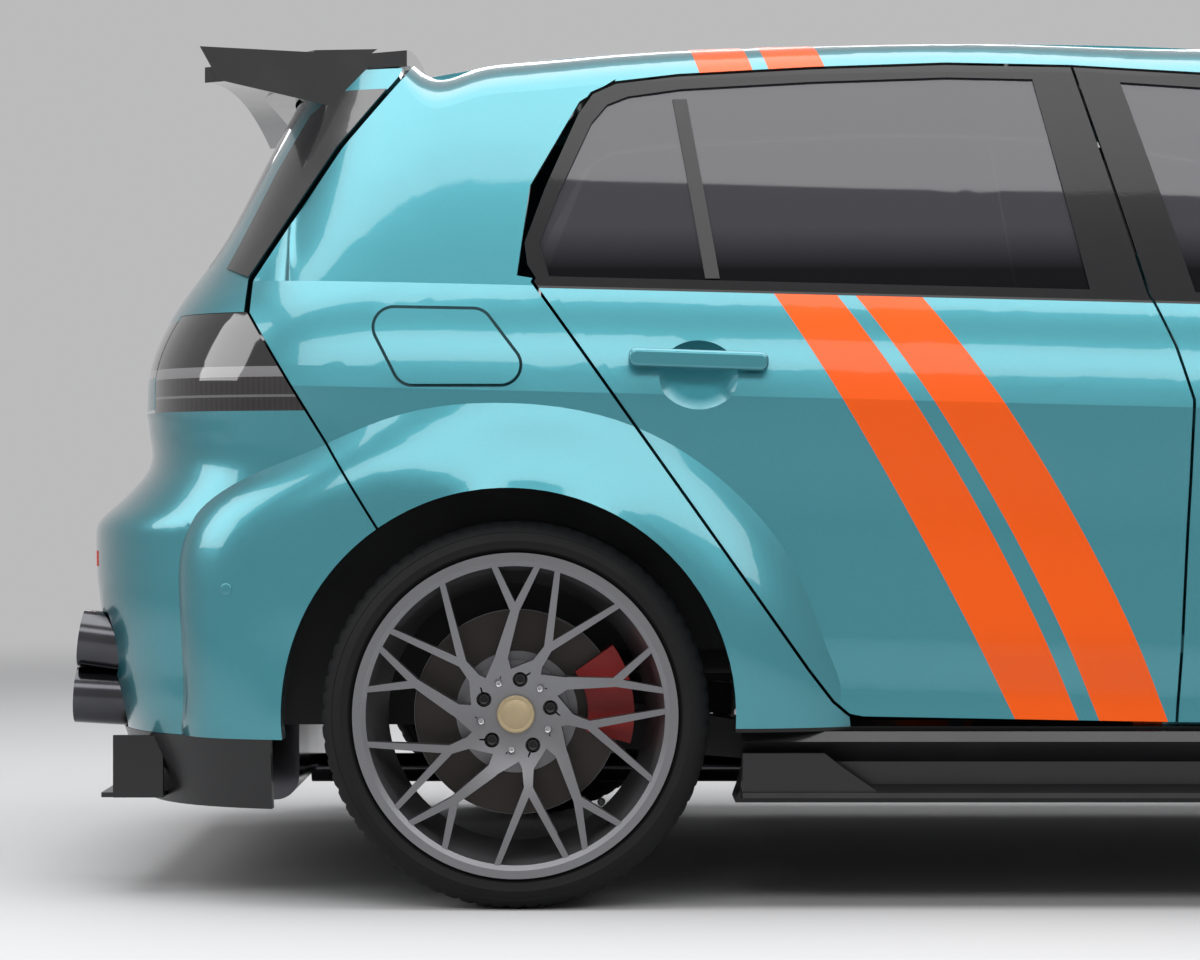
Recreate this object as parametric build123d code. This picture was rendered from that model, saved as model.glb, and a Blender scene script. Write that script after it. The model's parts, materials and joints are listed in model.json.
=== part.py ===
from build123d import *
import math
import os

# Five-door hot hatchback with a wide-arch body kit.
# Millimetres. +X is the front of the car, +Y its left side, +Z up; the ground is z = 0 and
# x = 0 is half-way between the bumpers. Feature lines of the side fall gently towards the
# nose, so side heights are given as "h", the height at the rear end of the rear door.

# ---------------------------------------------------------------- driving dimensions
WHEELBASE = 2630.0
REAR_OVERHANG = 745.0
FRONT_OVERHANG = 885.0
LENGTH = REAR_OVERHANG + WHEELBASE + FRONT_OVERHANG
REAR_AXLE_X = REAR_OVERHANG - LENGTH / 2
FRONT_AXLE_X = REAR_AXLE_X + WHEELBASE

TYRE_R = 308.0
TYRE_W = 235.0
RIM_R = 258.0
BEAD_R = 241.0
BARREL_R = 232.0
WHEEL_Y = 806.0
WHEEL_OUT = 113.0
DISC_R = 165.0
DISC_T = 24.0
LUG_CIRCLE_R = 56.0
HUB_IN = 89.5
CALIPER_IN = 30.0
KINGPIN_Y = 780.0

ARCH_R = 361.0
ARCH_BACK = 12.0
FLARE_R = 511.0
FRONT_FLARE_R = 486.0
GAP = 5.0
FRAME_GAP = 8.0
SEAM = 0.7
SKIN = 12.0
WALL = 40.0
DOOR_T = 62.0
FRAME_T = 14.0
FRAME_W = 22.0
GLASS_T = 4.0
GLASS_INSET = 4.0
BOX_INSET = 16.0
LINER_GAP = 22.0
POST_GAP = 8.0
REST = 0.3
LINER_T = 6.0
LINER_Y = 812.0

LINE_FALL = 0.025
LINE_X = REAR_AXLE_X + 38.0
CREASE_H = 822.0
BELT_H = 993.0
SILL_Z = 292.0
SILL_Y = 850.0
WIDEST_X = -260.0
REAR_DOOR_AXIS_Y = 897.0
FRONT_DOOR_AXIS_Y = 886.0
GLASS_FOOT = 836.0

SCREEN_BASE_Z = 968.0
SCREEN_BASE_X = 905.0
SCREEN_SLOPE = 0.60
SCREEN_BOW = 230.0
COWL_DEPTH = 62.0

BUMPER_TOP_Z = 792.0
LAMP_TOP_Z = 952.0
LAMP_SPLIT_Y = 640.0
TAILGATE_T = 46.0
BONNET_T = 16.0
BONNET_FRONT = 640.0
HEADLAMP_Y = 430.0
FLOOR_Z = 205.0


# ---------------------------------------------------------------- form of the body
def through(*points):
    """Smooth function through (t, value) pairs, straight beyond both ends."""
    t = [p[0] for p in points]
    v = [p[1] for p in points]
    rise = [(v[i + 1] - v[i]) / (t[i + 1] - t[i]) for i in range(len(t) - 1)]
    slope = [rise[0]]
    for i in range(1, len(t) - 1):
        a, b = t[i] - t[i - 1], t[i + 1] - t[i]
        slope.append((rise[i - 1] * b + rise[i] * a) / (a + b))
    slope.append(rise[-1])

    def at(s):
        if s <= t[0]:
            return v[0] + slope[0] * (s - t[0])
        if s >= t[-1]:
            return v[-1] + slope[-1] * (s - t[-1])
        i = max(k for k in range(len(t) - 1) if t[k] <= s)
        step = t[i + 1] - t[i]
        u = (s - t[i]) / step
        return (
            v[i] * (1 + 2 * u) * (1 - u) ** 2
            + slope[i] * step * u * (1 - u) ** 2
            + v[i + 1] * u * u * (3 - 2 * u)
            - slope[i + 1] * step * u * u * (1 - u)
        )

    return at


SIDE_LOWER = through((150, 852), (300, 886), (356, 880), (425, 887), (580, 884), (700, 891), (CREASE_H, 904))
SIDE_SHOULDER = through((CREASE_H, 904), (880, 893), (940, 872), (BELT_H, 843))
REAR_LINE = through(
    (200, 668), (300, 700), (450, 728), (560, 738), (610, 733), (650, 690), (690, 652),
    (800, 650), (883, 640), (948, 612), (1007, 575), (1048, 545), (1242, 442), (1395, 365),
)
FRONT_LINE = through((180, 820), (260, 862), (340, 882), (440, 885), (540, 884), (620, 872), (700, 845), (760, 800))
ROOF_LINE = through(
    (-1580, 1392), (-1411, 1421), (-1156, 1442), (-815, 1453), (-620, 1456), (-218, 1446), (200, 1408),
)
BONNET_LINE = through((640, 1006), (880, 986), (1200, 950), (1600, 893), (1850, 838), (1980, 792), (2050, 752))
BONNET_EDGE = through((640, 742), (900, 732), (1245, 700), (1600, 650), (1850, 590), (2050, 520))
PILLAR_IN = through((-1600, 545), (-700, 556), (0, 552), (150, 590), (400, 668), (605, 722))
PILLAR_TOP = through((-460, 1040), (-294, 1290), (-180, 1395))
REAR_POWER, FRONT_POWER = 4.5, 3.0
REAR_TURN_X = REAR_AXLE_X + 100.0
FRONT_TURN_X = FRONT_AXLE_X - 20.0


def height(x, h):
    """Height above the ground of side height h at x."""
    return h - LINE_FALL * (x - LINE_X)


def side_height(x, z):
    """Side height h of a point z above the ground at x."""
    return z + LINE_FALL * (x - LINE_X)


def flank(x, h):
    """Half width of the body at side height h, without the rounded ends."""
    if h <= CREASE_H:
        y = SIDE_LOWER(h)
    elif h <= BELT_H:
        y = SIDE_SHOULDER(h)
    else:
        y = GLASS_FOOT - 0.42 * (h - BELT_H) - 0.00022 * (h - BELT_H) ** 2
    return y * (1 - 0.018 * ((x - WIDEST_X) / 1400) ** 2)


def half_width(x, h):
    """Half width of the body at x and side height h, with the rounded ends."""
    y = flank(x, h)
    z = height(x, h)
    if x < REAR_TURN_X:
        q = min(0.999, (REAR_TURN_X - x) / (REAR_TURN_X - REAR_AXLE_X + REAR_LINE(z)))
        y *= (1 - q**REAR_POWER) ** (1 / REAR_POWER)
    if x > FRONT_TURN_X:
        q = min(0.999, (x - FRONT_TURN_X) / (FRONT_AXLE_X + FRONT_LINE(z) - FRONT_TURN_X))
        y *= (1 - q**FRONT_POWER) ** (1 / FRONT_POWER)
    return y


def screen_z(x, y):
    return SCREEN_BASE_Z + (SCREEN_BASE_X - SCREEN_BOW * (y / 700) ** 2 - x) * SCREEN_SLOPE


def roof_z(x, y):
    return ROOF_LINE(x) - 31 * (y / 475) ** 2


def bonnet_z(x, y):
    return BONNET_LINE(x) - 46 * (abs(y) / 700) ** 2.2


def top_edge(x):
    """Corner where the side meets the roof or windscreen: half width and height."""
    y = 640.0
    for _ in range(14):
        z = min(roof_z(x, y), screen_z(x, y))
        y = half_width(x, side_height(x, z))
    return y, z


# Shares of a rounded end's half width at which its level sections have points.
END_SHARES = (0.0, 0.35, 0.6, 0.75)


def end_turns(power):
    """(along, across) pairs that run round a rounded end from the side to the middle."""
    corner = 0.5 ** (1 / power)
    turns = [(q, (1 - q**power) ** (1 / power)) for q in END_SHARES]
    return turns + [(corner, corner)] + [(across, along) for along, across in reversed(turns)]


def end_points(tail, z, inset):
    """Plan points of half a level section of the rear (tail) or front end, from side to middle."""
    points = []
    for along, across in end_turns(REAR_POWER if tail else FRONT_POWER):
        if tail:
            x = REAR_TURN_X - (REAR_TURN_X - REAR_AXLE_X + REAR_LINE(z) - inset) * along
        else:
            x = FRONT_TURN_X + (FRONT_AXLE_X + FRONT_LINE(z) - FRONT_TURN_X - inset) * along
        points.append((x, (flank(x, side_height(x, z)) - inset) * across))
    return points


# ---------------------------------------------------------------- solid helpers
def mirror_y(shape):
    return mirror(shape, about=Plane.XZ)


def prism_y(points, y0=-1100.0, y1=-300.0):
    """Solid over an outline in side view (x, z), from y0 to y1."""
    return extrude(make_face(Polyline([(x, y0, z) for x, z in points], close=True)), amount=y1 - y0, dir=(0, 1, 0))


def prism_z(points, z0, z1):
    """Solid over an outline in plan (x, y), from z0 to z1."""
    return extrude(make_face(Polyline([(x, y, z0) for x, y in points], close=True)), amount=z1 - z0, dir=(0, 0, 1))


def prism_x(points, x0, x1):
    """Solid over an outline in front view (y, z), from x0 to x1."""
    return extrude(make_face(Polyline([(x0, y, z) for y, z in points], close=True)), amount=x1 - x0, dir=(1, 0, 0))


def block(x0, x1, y0, y1, z0, z1):
    return Pos((x0 + x1) / 2, (y0 + y1) / 2, (z0 + z1) / 2) * Box(x1 - x0, y1 - y0, z1 - z0)


def cylinder_y(x, z, r, y0, y1):
    return Pos(x, (y0 + y1) / 2, z) * Rot(90, 0, 0) * Cylinder(r, y1 - y0)


def rod(a, b, r):
    """Round bar from a to b."""
    a, b = Vector(*a), Vector(*b)
    return extrude(Plane(origin=a, z_dir=b - a) * Circle(r), amount=(b - a).length)


def inset_outline(points, amount):
    """Outline in side view moved in (negative) or out (positive) by amount, as a list of (x, z)."""
    flat = make_face(Polyline([(x, z) for x, z in points], close=True))
    ring = offset(flat, amount=amount, kind=Kind.INTERSECTION).faces()[0].outer_wire()
    return [((e @ 0).X, (e @ 0).Y) for e in ring.order_edges()]


def side_slab(stations, bands, depth, inset=0.0):
    """Right-hand side of the body: one lofted outer face for each band of side heights."""
    wires = []
    for x in stations:
        outer, inner = [], []
        for band in bands:
            points = [(x, -(half_width(x, h) - inset), height(x, h)) for h in band]
            outer.append(Spline(points))
            inner.append(Spline([(px, py + depth, pz) for px, py, pz in points]))
        wires.append(Wire([*outer, Line(outer[-1] @ 1, inner[-1] @ 1), *inner, Line(inner[0] @ 0, outer[0] @ 0)]))
    return Solid.make_loft(wires)


def shoulder_points(x):
    """Where the side ends, the corner's tip and the corner's inner end, for a section at x."""
    if x < REAR_AXLE_X - 190:
        z = PILLAR_TOP(x - REAR_AXLE_X)
        y_tip = half_width(x, side_height(x, z + 25))
        return z, (y_tip, z + 25), (y_tip - 60, z + 50)
    y_top, z_top = top_edge(x)
    drop = min(46.0, 0.22 * (z_top - height(x, BELT_H))) if x > 100 else 46.0
    y_in = PILLAR_IN(x)
    return z_top - drop, (y_top, z_top - 3), (y_in, min(roof_z(x, y_in), screen_z(x, y_in)))


def greenhouse_slab(stations, depth, inset=0.0):
    """Right-hand side above the belt, with the rounded corner over to the roof."""
    wires = []
    for x in stations:
        z1, tip, end = shoulder_points(x)
        z0 = height(x, BELT_H - 20)
        levels = [z0 + (z1 - z0) * i / 4 for i in range(1, 5)]
        side = [(x, inset - flank_foot(x), z0)] + [(x, inset - half_width(x, side_height(x, z)), z) for z in levels]
        outer, inner = Spline(side), Spline([(px, py + depth, pz) for px, py, pz in side])
        over = Bezier(side[-1], (x, inset - tip[0], tip[1] - inset), (x, -end[0], end[1] - inset))
        under = Bezier(
            (x, side[-1][1] + depth, side[-1][2]), (x, inset - tip[0] + depth, tip[1] - inset - depth),
            (x, -end[0], end[1] - inset - depth),
        )
        edges = [outer, over, Line(over @ 1, under @ 1), under, inner, Line(inner @ 0, outer @ 0)]
        wires.append(Wire(edges))
    return Solid.make_loft(wires)


def flank_foot(x):
    """Half width of the greenhouse's hidden foot, 20 mm below the belt."""
    return half_width(x, BELT_H + 0.001) + 8


def end_shell(tail, heights, thick, outer=0.0):
    """Wrap-round shell of the rear (tail) or front end, lofted through level sections."""
    wires = []
    for z in heights:
        rings = []
        for inset in (outer, thick):
            half = end_points(tail, z, inset)
            rings.append(Spline([(x, -y, z) for x, y in half] + [(x, y, z) for x, y in reversed(half[:-1])]))
        wires.append(Wire([rings[0], Line(rings[0] @ 1, rings[1] @ 1), rings[1], Line(rings[1] @ 0, rings[0] @ 0)]))
    return Solid.make_loft(wires)


def top_sheet(surface, xs, ys, depth):
    """Sheet under the height field z = surface(x, y), as deep as given."""
    grid = [[Vector(x, y, surface(x, y)) for y in ys] for x in xs]
    face = Face.make_surface_from_array_of_points(grid, tol=0.3, min_deg=3)
    return extrude(face, amount=depth, dir=(0, 0, -1))


def spread(a, b, n):
    return [a + (b - a) * i / (n - 1) for i in range(n)]


def at_rear(*pairs):
    """Side-view points given as distances ahead of the rear axle and heights."""
    return [(REAR_AXLE_X + x, z) for x, z in pairs]


def edge_x(outline, z):
    """Distance along the car of a falling or rising outline at height z."""
    for (xa, za), (xb, zb) in zip(outline, outline[1:]):
        if min(za, zb) <= z <= max(za, zb):
            return xa + (xb - xa) * (z - za) / (zb - za)


def save(node, *shapes):
    """Writes one node's solids."""
    solids = [s for shape in shapes for s in shape.solids() if s.volume > 50]
    export_step(Compound(children=solids) if len(solids) > 1 else solids[0], f"parts/{node}.step")


def both(node, shape):
    """Writes a right-hand piece and its mirror image as a pair of nodes."""
    save(f"{node}_right", shape)
    save(f"{node}_left", mirror_y(shape))


# ---------------------------------------------------------------- outlines in side view
LOW, HIGH = 60.0, 1700.0
BELT_BACK, BELT_FRONT = 28, 2060
REAR_DOOR_BACK = at_rear((553, 305), (532, 309), (507, 330), (468, 380), (433, 429), (28, 1000))
MID_GAP = at_rear((1049, 296), (1053, 347), (1063, 529), (1070, 681), (1074, 808), (1048, 896), (1012, 983),
                  (915, 1366))
REAR_HEAD = at_rear((31, 1006), (17, 1028), (12, 1064), (44, 1155), (98, 1282), (122, 1318), (160, 1336),
                    (263, 1349), (485, 1362), (708, 1370), (915, 1366))
FRONT_HEAD = at_rear((915, 1366), (1129, 1353), (1330, 1322), (1560, 1230), (1790, 1110), (1975, 985))
FRONT_DOOR_FRONT = at_rear((2045, 290), (2060, 330), (2085, 400), (2100, 520), (2100, 700), (2088, 850), (2050, 930))
TAIL_GAP = at_rear((-160, 1440), (-195, 1352), (-294, 1230), (-407, 1053), (-435, 1008), (-437, LAMP_TOP_Z))
LAMP_FRONT = at_rear((-437, LAMP_TOP_Z), (-338, BUMPER_TOP_Z))
BUMPER_GAP = at_rear((-338, BUMPER_TOP_Z), (-206, 580))
WING_GAP = at_rear((2880, 520), (2960, 640), (3010, 770))

REAR_DOOR = REAR_DOOR_BACK + REAR_HEAD[:-1] + list(reversed(MID_GAP))
FRONT_DOOR = MID_GAP + FRONT_HEAD[1:] + list(reversed(FRONT_DOOR_FRONT))


def belt(x):
    return height(x, BELT_H)


REAR_LIGHT = at_rear((52, belt(REAR_AXLE_X + 52) + 16), (36, 1064), (66, 1146), (120, 1268), (146, 1300),
                     (180, 1314), (268, 1327), (485, 1340), (708, 1348), (850, 1345),
                     (921, belt(REAR_AXLE_X + 921) + 16))
FRONT_LIGHT = at_rear((1090, belt(REAR_AXLE_X + 1090) + 16), (995, 1340), (1127, 1331), (1320, 1300), (1540, 1212),
                      (1760, 1098), (1900, 1014), (1925, belt(REAR_AXLE_X + 1925) + 16))

SIDE_BANDS = [[225, 300, 356, 425, 500, 580, 700, CREASE_H], [CREASE_H, 855, 890, 940, BELT_H]]
SIDE_X = [REAR_AXLE_X + d for d in (-480, -400, -300, -200, -100, 0, 150, 400, 800, 1200, 1600, 2000, 2160)]
UPPER_X = [REAR_AXLE_X + d for d in (-450, -370, -290, -220, -150, -80, 0, 150, 400, 800, 1150, 1400, 1560, 1700, 1850, 1970)]


# ---------------------------------------------------------------- wheel arches
def flare(axle_x, angles, reach, rise, sharp):
    """Wheel-arch flare lofted from sections that stand round the wheel's axis."""
    cx, wires, r_in = axle_x - ARCH_BACK, [], ARCH_R - 8
    for degrees in angles:
        a = math.radians(degrees)
        r_out, lift, power = reach(degrees), rise(degrees), sharp(degrees)

        def place(r, share, depth=0.0):
            x, z = cx + r * math.cos(a), TYRE_R + r * math.sin(a)
            y = half_width(x, min(side_height(x, z), 900)) + lift * share - depth
            return (x, -y, z)

        shares = [i / 6 for i in range(7)]
        top = Spline([place(r_in + (r_out - r_in) * u, 1 - u**power, 3 * u**8) for u in shares])
        foot_out, foot_in = place(r_out, 0, SKIN - 2), place(r_in, 0, SKIN - 2)
        wires.append(Wire([top, Line(top @ 1, foot_out), Line(foot_out, foot_in), Line(foot_in, top @ 0)]))
    return Solid.make_loft(wires)


REAR_REACH = through((-12, 548), (0, 540), (25, 513), (45, FLARE_R), (110, FLARE_R), (130, 536), (150, 598),
                     (165, 552), (180, 531), (192, 524))
FRONT_REACH = through((-12, 515), (30, FRONT_FLARE_R), (150, FRONT_FLARE_R), (192, 520))
REAR_RISE = through((-12, 52), (30, 60), (90, 60), (150, 48), (192, 46))
FRONT_RISE = through((-12, 50), (30, 58), (90, 60), (150, 58), (192, 50))
REAR_SHARP = through((-12, 2.0), (30, 1.7), (110, 1.7), (150, 6.0), (192, 7.0))


def FRONT_SHARP(degrees):
    return 1.7


def rear_flare():
    return flare(REAR_AXLE_X, [-9, 5, 20, 40, 65, 90, 110, 130, 150, 165, 180, 188], REAR_REACH, REAR_RISE, REAR_SHARP)


def front_flare():
    angles = [-14, 5, 25, 45, 70, 95, 120, 140, 165, 187]
    return flare(FRONT_AXLE_X, angles, FRONT_REACH, FRONT_RISE, FRONT_SHARP)


def arch(axle_x, r=ARCH_R, y0=-1100.0, y1=-600.0):
    return cylinder_y(axle_x - ARCH_BACK, TYRE_R, r, y0, y1)


# ---------------------------------------------------------------- body side, doors and glass
def body_side(flare_solid):
    """Rear quarter, pillars, roof rail and sill of the right-hand side."""
    opening = prism_y(inset_outline(REAR_DOOR, GAP)) + prism_y(inset_outline(FRONT_DOOR, GAP))
    opening += prism_y(at_rear((0, 1010), (20, 1160), (100, 1305), (160, 1345), (60, 1000)))
    behind = prism_y(
        [(REAR_AXLE_X - 600, HIGH), (REAR_AXLE_X - 160 + GAP, HIGH)] + [(x + GAP, z) for x, z in TAIL_GAP]
        + [(x + GAP, z) for x, z in LAMP_FRONT[1:]] + [(x + GAP, z) for x, z in BUMPER_GAP[1:]]
        + at_rear((-206 + GAP, LOW), (-600, LOW))
    )
    quarter = side_slab([x for x in SIDE_X if x < REAR_AXLE_X + 700], SIDE_BANDS, WALL)
    quarter &= prism_y([(-3000, LOW), (REAR_AXLE_X + 600, LOW), (REAR_AXLE_X + 600, HIGH), (-3000, HIGH)])
    quarter = quarter + flare_solid
    quarter -= prism_y([(-3000, LOW), (0, LOW), (0, SILL_Z - 2 * GAP), (-3000, SILL_Z - 2 * GAP)])
    upper = greenhouse_slab(UPPER_X, WALL)
    side = (quarter + upper) - opening - behind - arch(REAR_AXLE_X)
    return side + middle_post() + front_post() + sill()


def hinge_blocks(outline, axis_y, inner_y):
    """Two blocks just ahead of a door's box, fused to the post that carries it."""
    blocks = []
    for z in (420, 780):
        face = max(edge_x(outline, z - 15), edge_x(outline, z + 15)) - BOX_INSET
        blocks.append(block(face + REST, face + 30, -(axis_y - 27), -inner_y, z - 15, z + 15))
    return blocks[0] + blocks[1]


# Side view of the link from the roof rail, over the front door's corner, to the post ahead of the door.
PILLAR_FOOT = at_rear((1940, 1016.5), (1940, 1027), (1970, 1011), (2000, 993), (2047, 963), (2100, 912), (2161, 912),
                      (2161, 850), (2096, 850), (2059, 931), (2001, 975), (1977, 993))


def front_post():
    """Post ahead of the front door, with the arm under the bonnet's rear corner."""
    x0 = REAR_AXLE_X + 2107
    post = block(x0, x0 + 54, -854, -722, SILL_Z - 2 * GAP, 866)
    post += prism_y(PILLAR_FOOT, -790, -745)
    top = min(bonnet_z(x, y) for x in (x0 + 30, x0 + 54) for y in (690, 735)) - BONNET_T - REST
    post += block(x0 + 30, x0 + 54, -760, -690, 880, 912)
    post += block(x0 + 30, x0 + 54, -735, -690, 900, top)
    return post + hinge_blocks(FRONT_DOOR_FRONT, FRONT_DOOR_AXIS_Y, 800)


def middle_post():
    """Post between the doors, behind both of them."""
    bands = SIDE_BANDS + [[BELT_H, BELT_H + 40, BELT_H + 80]]
    lower = side_slab([REAR_AXLE_X + d for d in (900, 1000, 1100, 1200)], bands, 60, DOOR_T + POST_GAP)
    lower &= prism_y(at_rear((990, 240), (1110, 240), (1130, 800), (1040, 1070), (930, 1070), (1020, 800)))
    upper = greenhouse_slab([REAR_AXLE_X + d for d in (850, 900, 960, 1050, 1120)], 75, FRAME_T + POST_GAP)
    belt_z = belt(REAR_AXLE_X + 1000) + POST_GAP
    upper &= prism_y(at_rear((925, belt_z), (1065, belt_z), (960, 1420), (880, 1420)))
    return lower + upper + hinge_blocks(MID_GAP, REAR_DOOR_AXIS_Y, 800)


def sill():
    """Box sill under the doors, from one arch to the other."""
    x0, x1 = REAR_AXLE_X + 300, FRONT_AXLE_X - 300
    box = block(x0, x1, -SILL_Y, -700, 165, SILL_Z - GAP)
    around = ARCH_R + LINER_GAP + LINER_T + SEAM
    return box - arch(REAR_AXLE_X, around) - arch(FRONT_AXLE_X, around)


def door(outline, stations, upper_stations, light, flare_solid=None):
    """Door with its outer skin, box section and window frame in one piece."""
    shape = prism_y(outline)
    skin = side_slab(stations, SIDE_BANDS, SKIN)
    if flare_solid:
        skin += flare_solid
        skin -= arch(REAR_AXLE_X, ARCH_R + 20)
    skin &= shape
    box = side_slab(stations, SIDE_BANDS, DOOR_T) & prism_y(inset_outline(outline, -BOX_INSET))
    frame = (greenhouse_slab(upper_stations, FRAME_T) & shape) - prism_y(light)
    return skin + box + frame


def door_glass(upper_stations, light):
    return greenhouse_slab(upper_stations, GLASS_T, GLASS_INSET) & prism_y(light)


def mirror_body():
    """Door mirror: a housing on a short foot at the front corner of the window."""
    shell = Pos(REAR_AXLE_X + 1930, -985, 1035) * Rot(0, 0, -8) * Box(150, 190, 130)
    shell = fillet(shell.edges(), 38)
    foot = Pos(REAR_AXLE_X + 1945, -903, 938) * Box(46, 84, 76)
    return shell + foot


HANDLE_L, HANDLE_H = 222.0, 30.0


def handle(x, z):
    """Pull handle that stands off the skin on two feet."""
    y = half_width(x, side_height(x, z))
    bar = Pos(x, -(y + 24), z) * Rot(0, 2, 0) * Box(HANDLE_L, 18, HANDLE_H)
    bar = fillet(bar.edges().filter_by(Axis.Y), 12)
    bar = fillet(bar.faces().sort_by(Axis.Y)[0].edges(), 7)
    for dx in (-88, 88):
        bar += Pos(x + dx, -(y + 4), z) * Box(30, 36, 22)
    return bar


def handle_cup(x, z):
    """Round hollow for the fingers behind the middle of the handle."""
    y = half_width(x, side_height(x, z))
    return Pos(x, -(y + 74), z - 12) * Sphere(94)


def rear_door():
    stations = [REAR_AXLE_X + d for d in (-40, 0, 150, 400, 700, 1000, 1150)]
    upper = [REAR_AXLE_X + d for d in (-60, 0, 60, 150, 400, 700, 960, 1060)]
    piece = door(inset_outline(REAR_DOOR, -0.01), stations, upper, REAR_LIGHT, rear_flare())
    piece -= handle_cup(REAR_AXLE_X + 290, 872)
    return piece + handle(REAR_AXLE_X + 290, 872), door_glass(upper, REAR_LIGHT)


def front_door():
    stations = [REAR_AXLE_X + d for d in (900, 1000, 1200, 1500, 1800, 2000, 2140)]
    upper = [REAR_AXLE_X + d for d in (880, 960, 1100, 1400, 1560, 1700, 1850, 1970)]
    outline = [(x + (GAP if i < len(MID_GAP) else 0), z) for i, (x, z) in enumerate(FRONT_DOOR)]
    piece = door(outline, stations, upper, FRONT_LIGHT)
    piece -= handle_cup(REAR_AXLE_X + 1290, 848)
    return piece + handle(REAR_AXLE_X + 1290, 848) + mirror_body(), door_glass(upper, FRONT_LIGHT)


# ---------------------------------------------------------------- roof, windscreen, wings and bonnet
def header_x(y):
    """Line across the car where roof and windscreen meet."""
    return 168 - 88 * (y / 545) ** 2


def tail_x(y):
    """Front edge of the tailgate across the roof."""
    return REAR_AXLE_X - 160 - 14 * (y / 545) ** 2


def plan_strip(front, back, half, x_rear, x_front, z0, z1):
    """Upright solid between two curves across the car, with sides at half(x)."""
    left = [(x, half(x), z0) for x in spread(x_rear, x_front, 13)]
    ahead = [(front(y), y, z0) for y in spread(half(x_front), -half(x_front), 9)]
    behind = [(back(y), y, z0) for y in spread(-half(x_rear), half(x_rear), 9)]
    left[0], left[-1] = behind[-1], ahead[0]
    right = [(x, -y, z) for x, y, z in reversed(left)]
    face = make_face([Spline(left), Spline(ahead), Spline(right), Spline(behind)])
    return extrude(face, amount=z1 - z0, dir=(0, 0, 1))


def pillar_gap(x):
    return PILLAR_IN(x) - 4 * SEAM


def roof_panel():
    sheet = top_sheet(roof_z, spread(-1600, 220, 16), spread(-620, 620, 9), 24)
    x0, x1 = tail_x(PILLAR_IN(-1559)) + GAP, header_x(552)
    panel = sheet & plan_strip(lambda y: header_x(y) - SEAM, lambda y: tail_x(y) + GAP, pillar_gap, x0, x1, 1200, 1600)
    for y in (-400, 400):
        panel += tailgate_hinge(y)
    return panel


def tailgate_hinge(y):
    """Arm from the roof's rear edge to a pad under the tailgate's top edge."""
    x = REAR_AXLE_X - 176
    pad_z = roof_z(x - 55, abs(y) + 15) - TAILGATE_T * 0.6 - REST
    arm = block(x - 55, x + 45, y - 15, y + 15, pad_z - 22, pad_z - 7)
    riser = block(x + 28, x + 45, y - 15, y + 15, pad_z - 22, roof_z(x + 28, y) - 8)
    return arm + riser + block(x - 55, x - 27, y - 15, y + 15, pad_z - 22, pad_z)


def windscreen():
    sheet = top_sheet(screen_z, spread(0, 940, 12), spread(-760, 760, 9), 7)
    base = screen_base_x(722)
    return sheet & plan_strip(screen_base_x, lambda y: header_x(y) + SEAM, pillar_gap, header_x(552), base, 900, 1600)


def screen_base_x(y):
    return SCREEN_BASE_X - SCREEN_BOW * (y / 700) ** 2 - 6


def bonnet_rear_x(y):
    return screen_base_x(y) + COWL_DEPTH


def bonnet_front_x(y):
    """Front edge of the bonnet, a curve parallel to the front of the bumper."""
    return 2034 - 70 * (abs(y) / 520) ** 2.4


def bonnet():
    sheet = top_sheet(bonnet_z, spread(620, 2080, 16), spread(-800, 800, 13), BONNET_T)
    half = lambda x: BONNET_EDGE(x) - GAP / 2
    return sheet & plan_strip(bonnet_front_x, bonnet_rear_x, half, 728, 1962, 500, 1300)


# Side view of the room that the bonnet's front edge needs over the bumper.
NOSE_ROOM = [(1300, 900), (1300, 786), (2200, 738), (2200, 900)]


def cowl():
    """Panel under the foot of the windscreen."""
    outline = plan_strip(lambda y: bonnet_rear_x(y) - GAP, lambda y: screen_base_x(y) + SEAM, lambda x: 700.0,
                         screen_base_x(700), bonnet_rear_x(700) - GAP, 800, 1200)
    panel = top_sheet(lambda x, y: bonnet_z(x, y) - 14, spread(600, 1000, 8), spread(-760, 760, 9), 30)
    return panel & outline


def wipers():
    """Two wiper arms on their pivots, parked low across the windscreen."""
    arms = []
    for y0, y1 in ((560, -60), (-20, -600)):
        x0, x1 = screen_base_x(y0) + 18, screen_base_x(y1) - 40
        foot = bonnet_z(x0, y0) - 14 + SEAM
        arm = Pos(x0, y0, foot + 26) * Cylinder(9, 52)
        arms.append(arm + rod((x0, y0, foot + 47), (x1, y1, screen_z(x1, y1) + 50), 5))
    return arms


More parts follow.
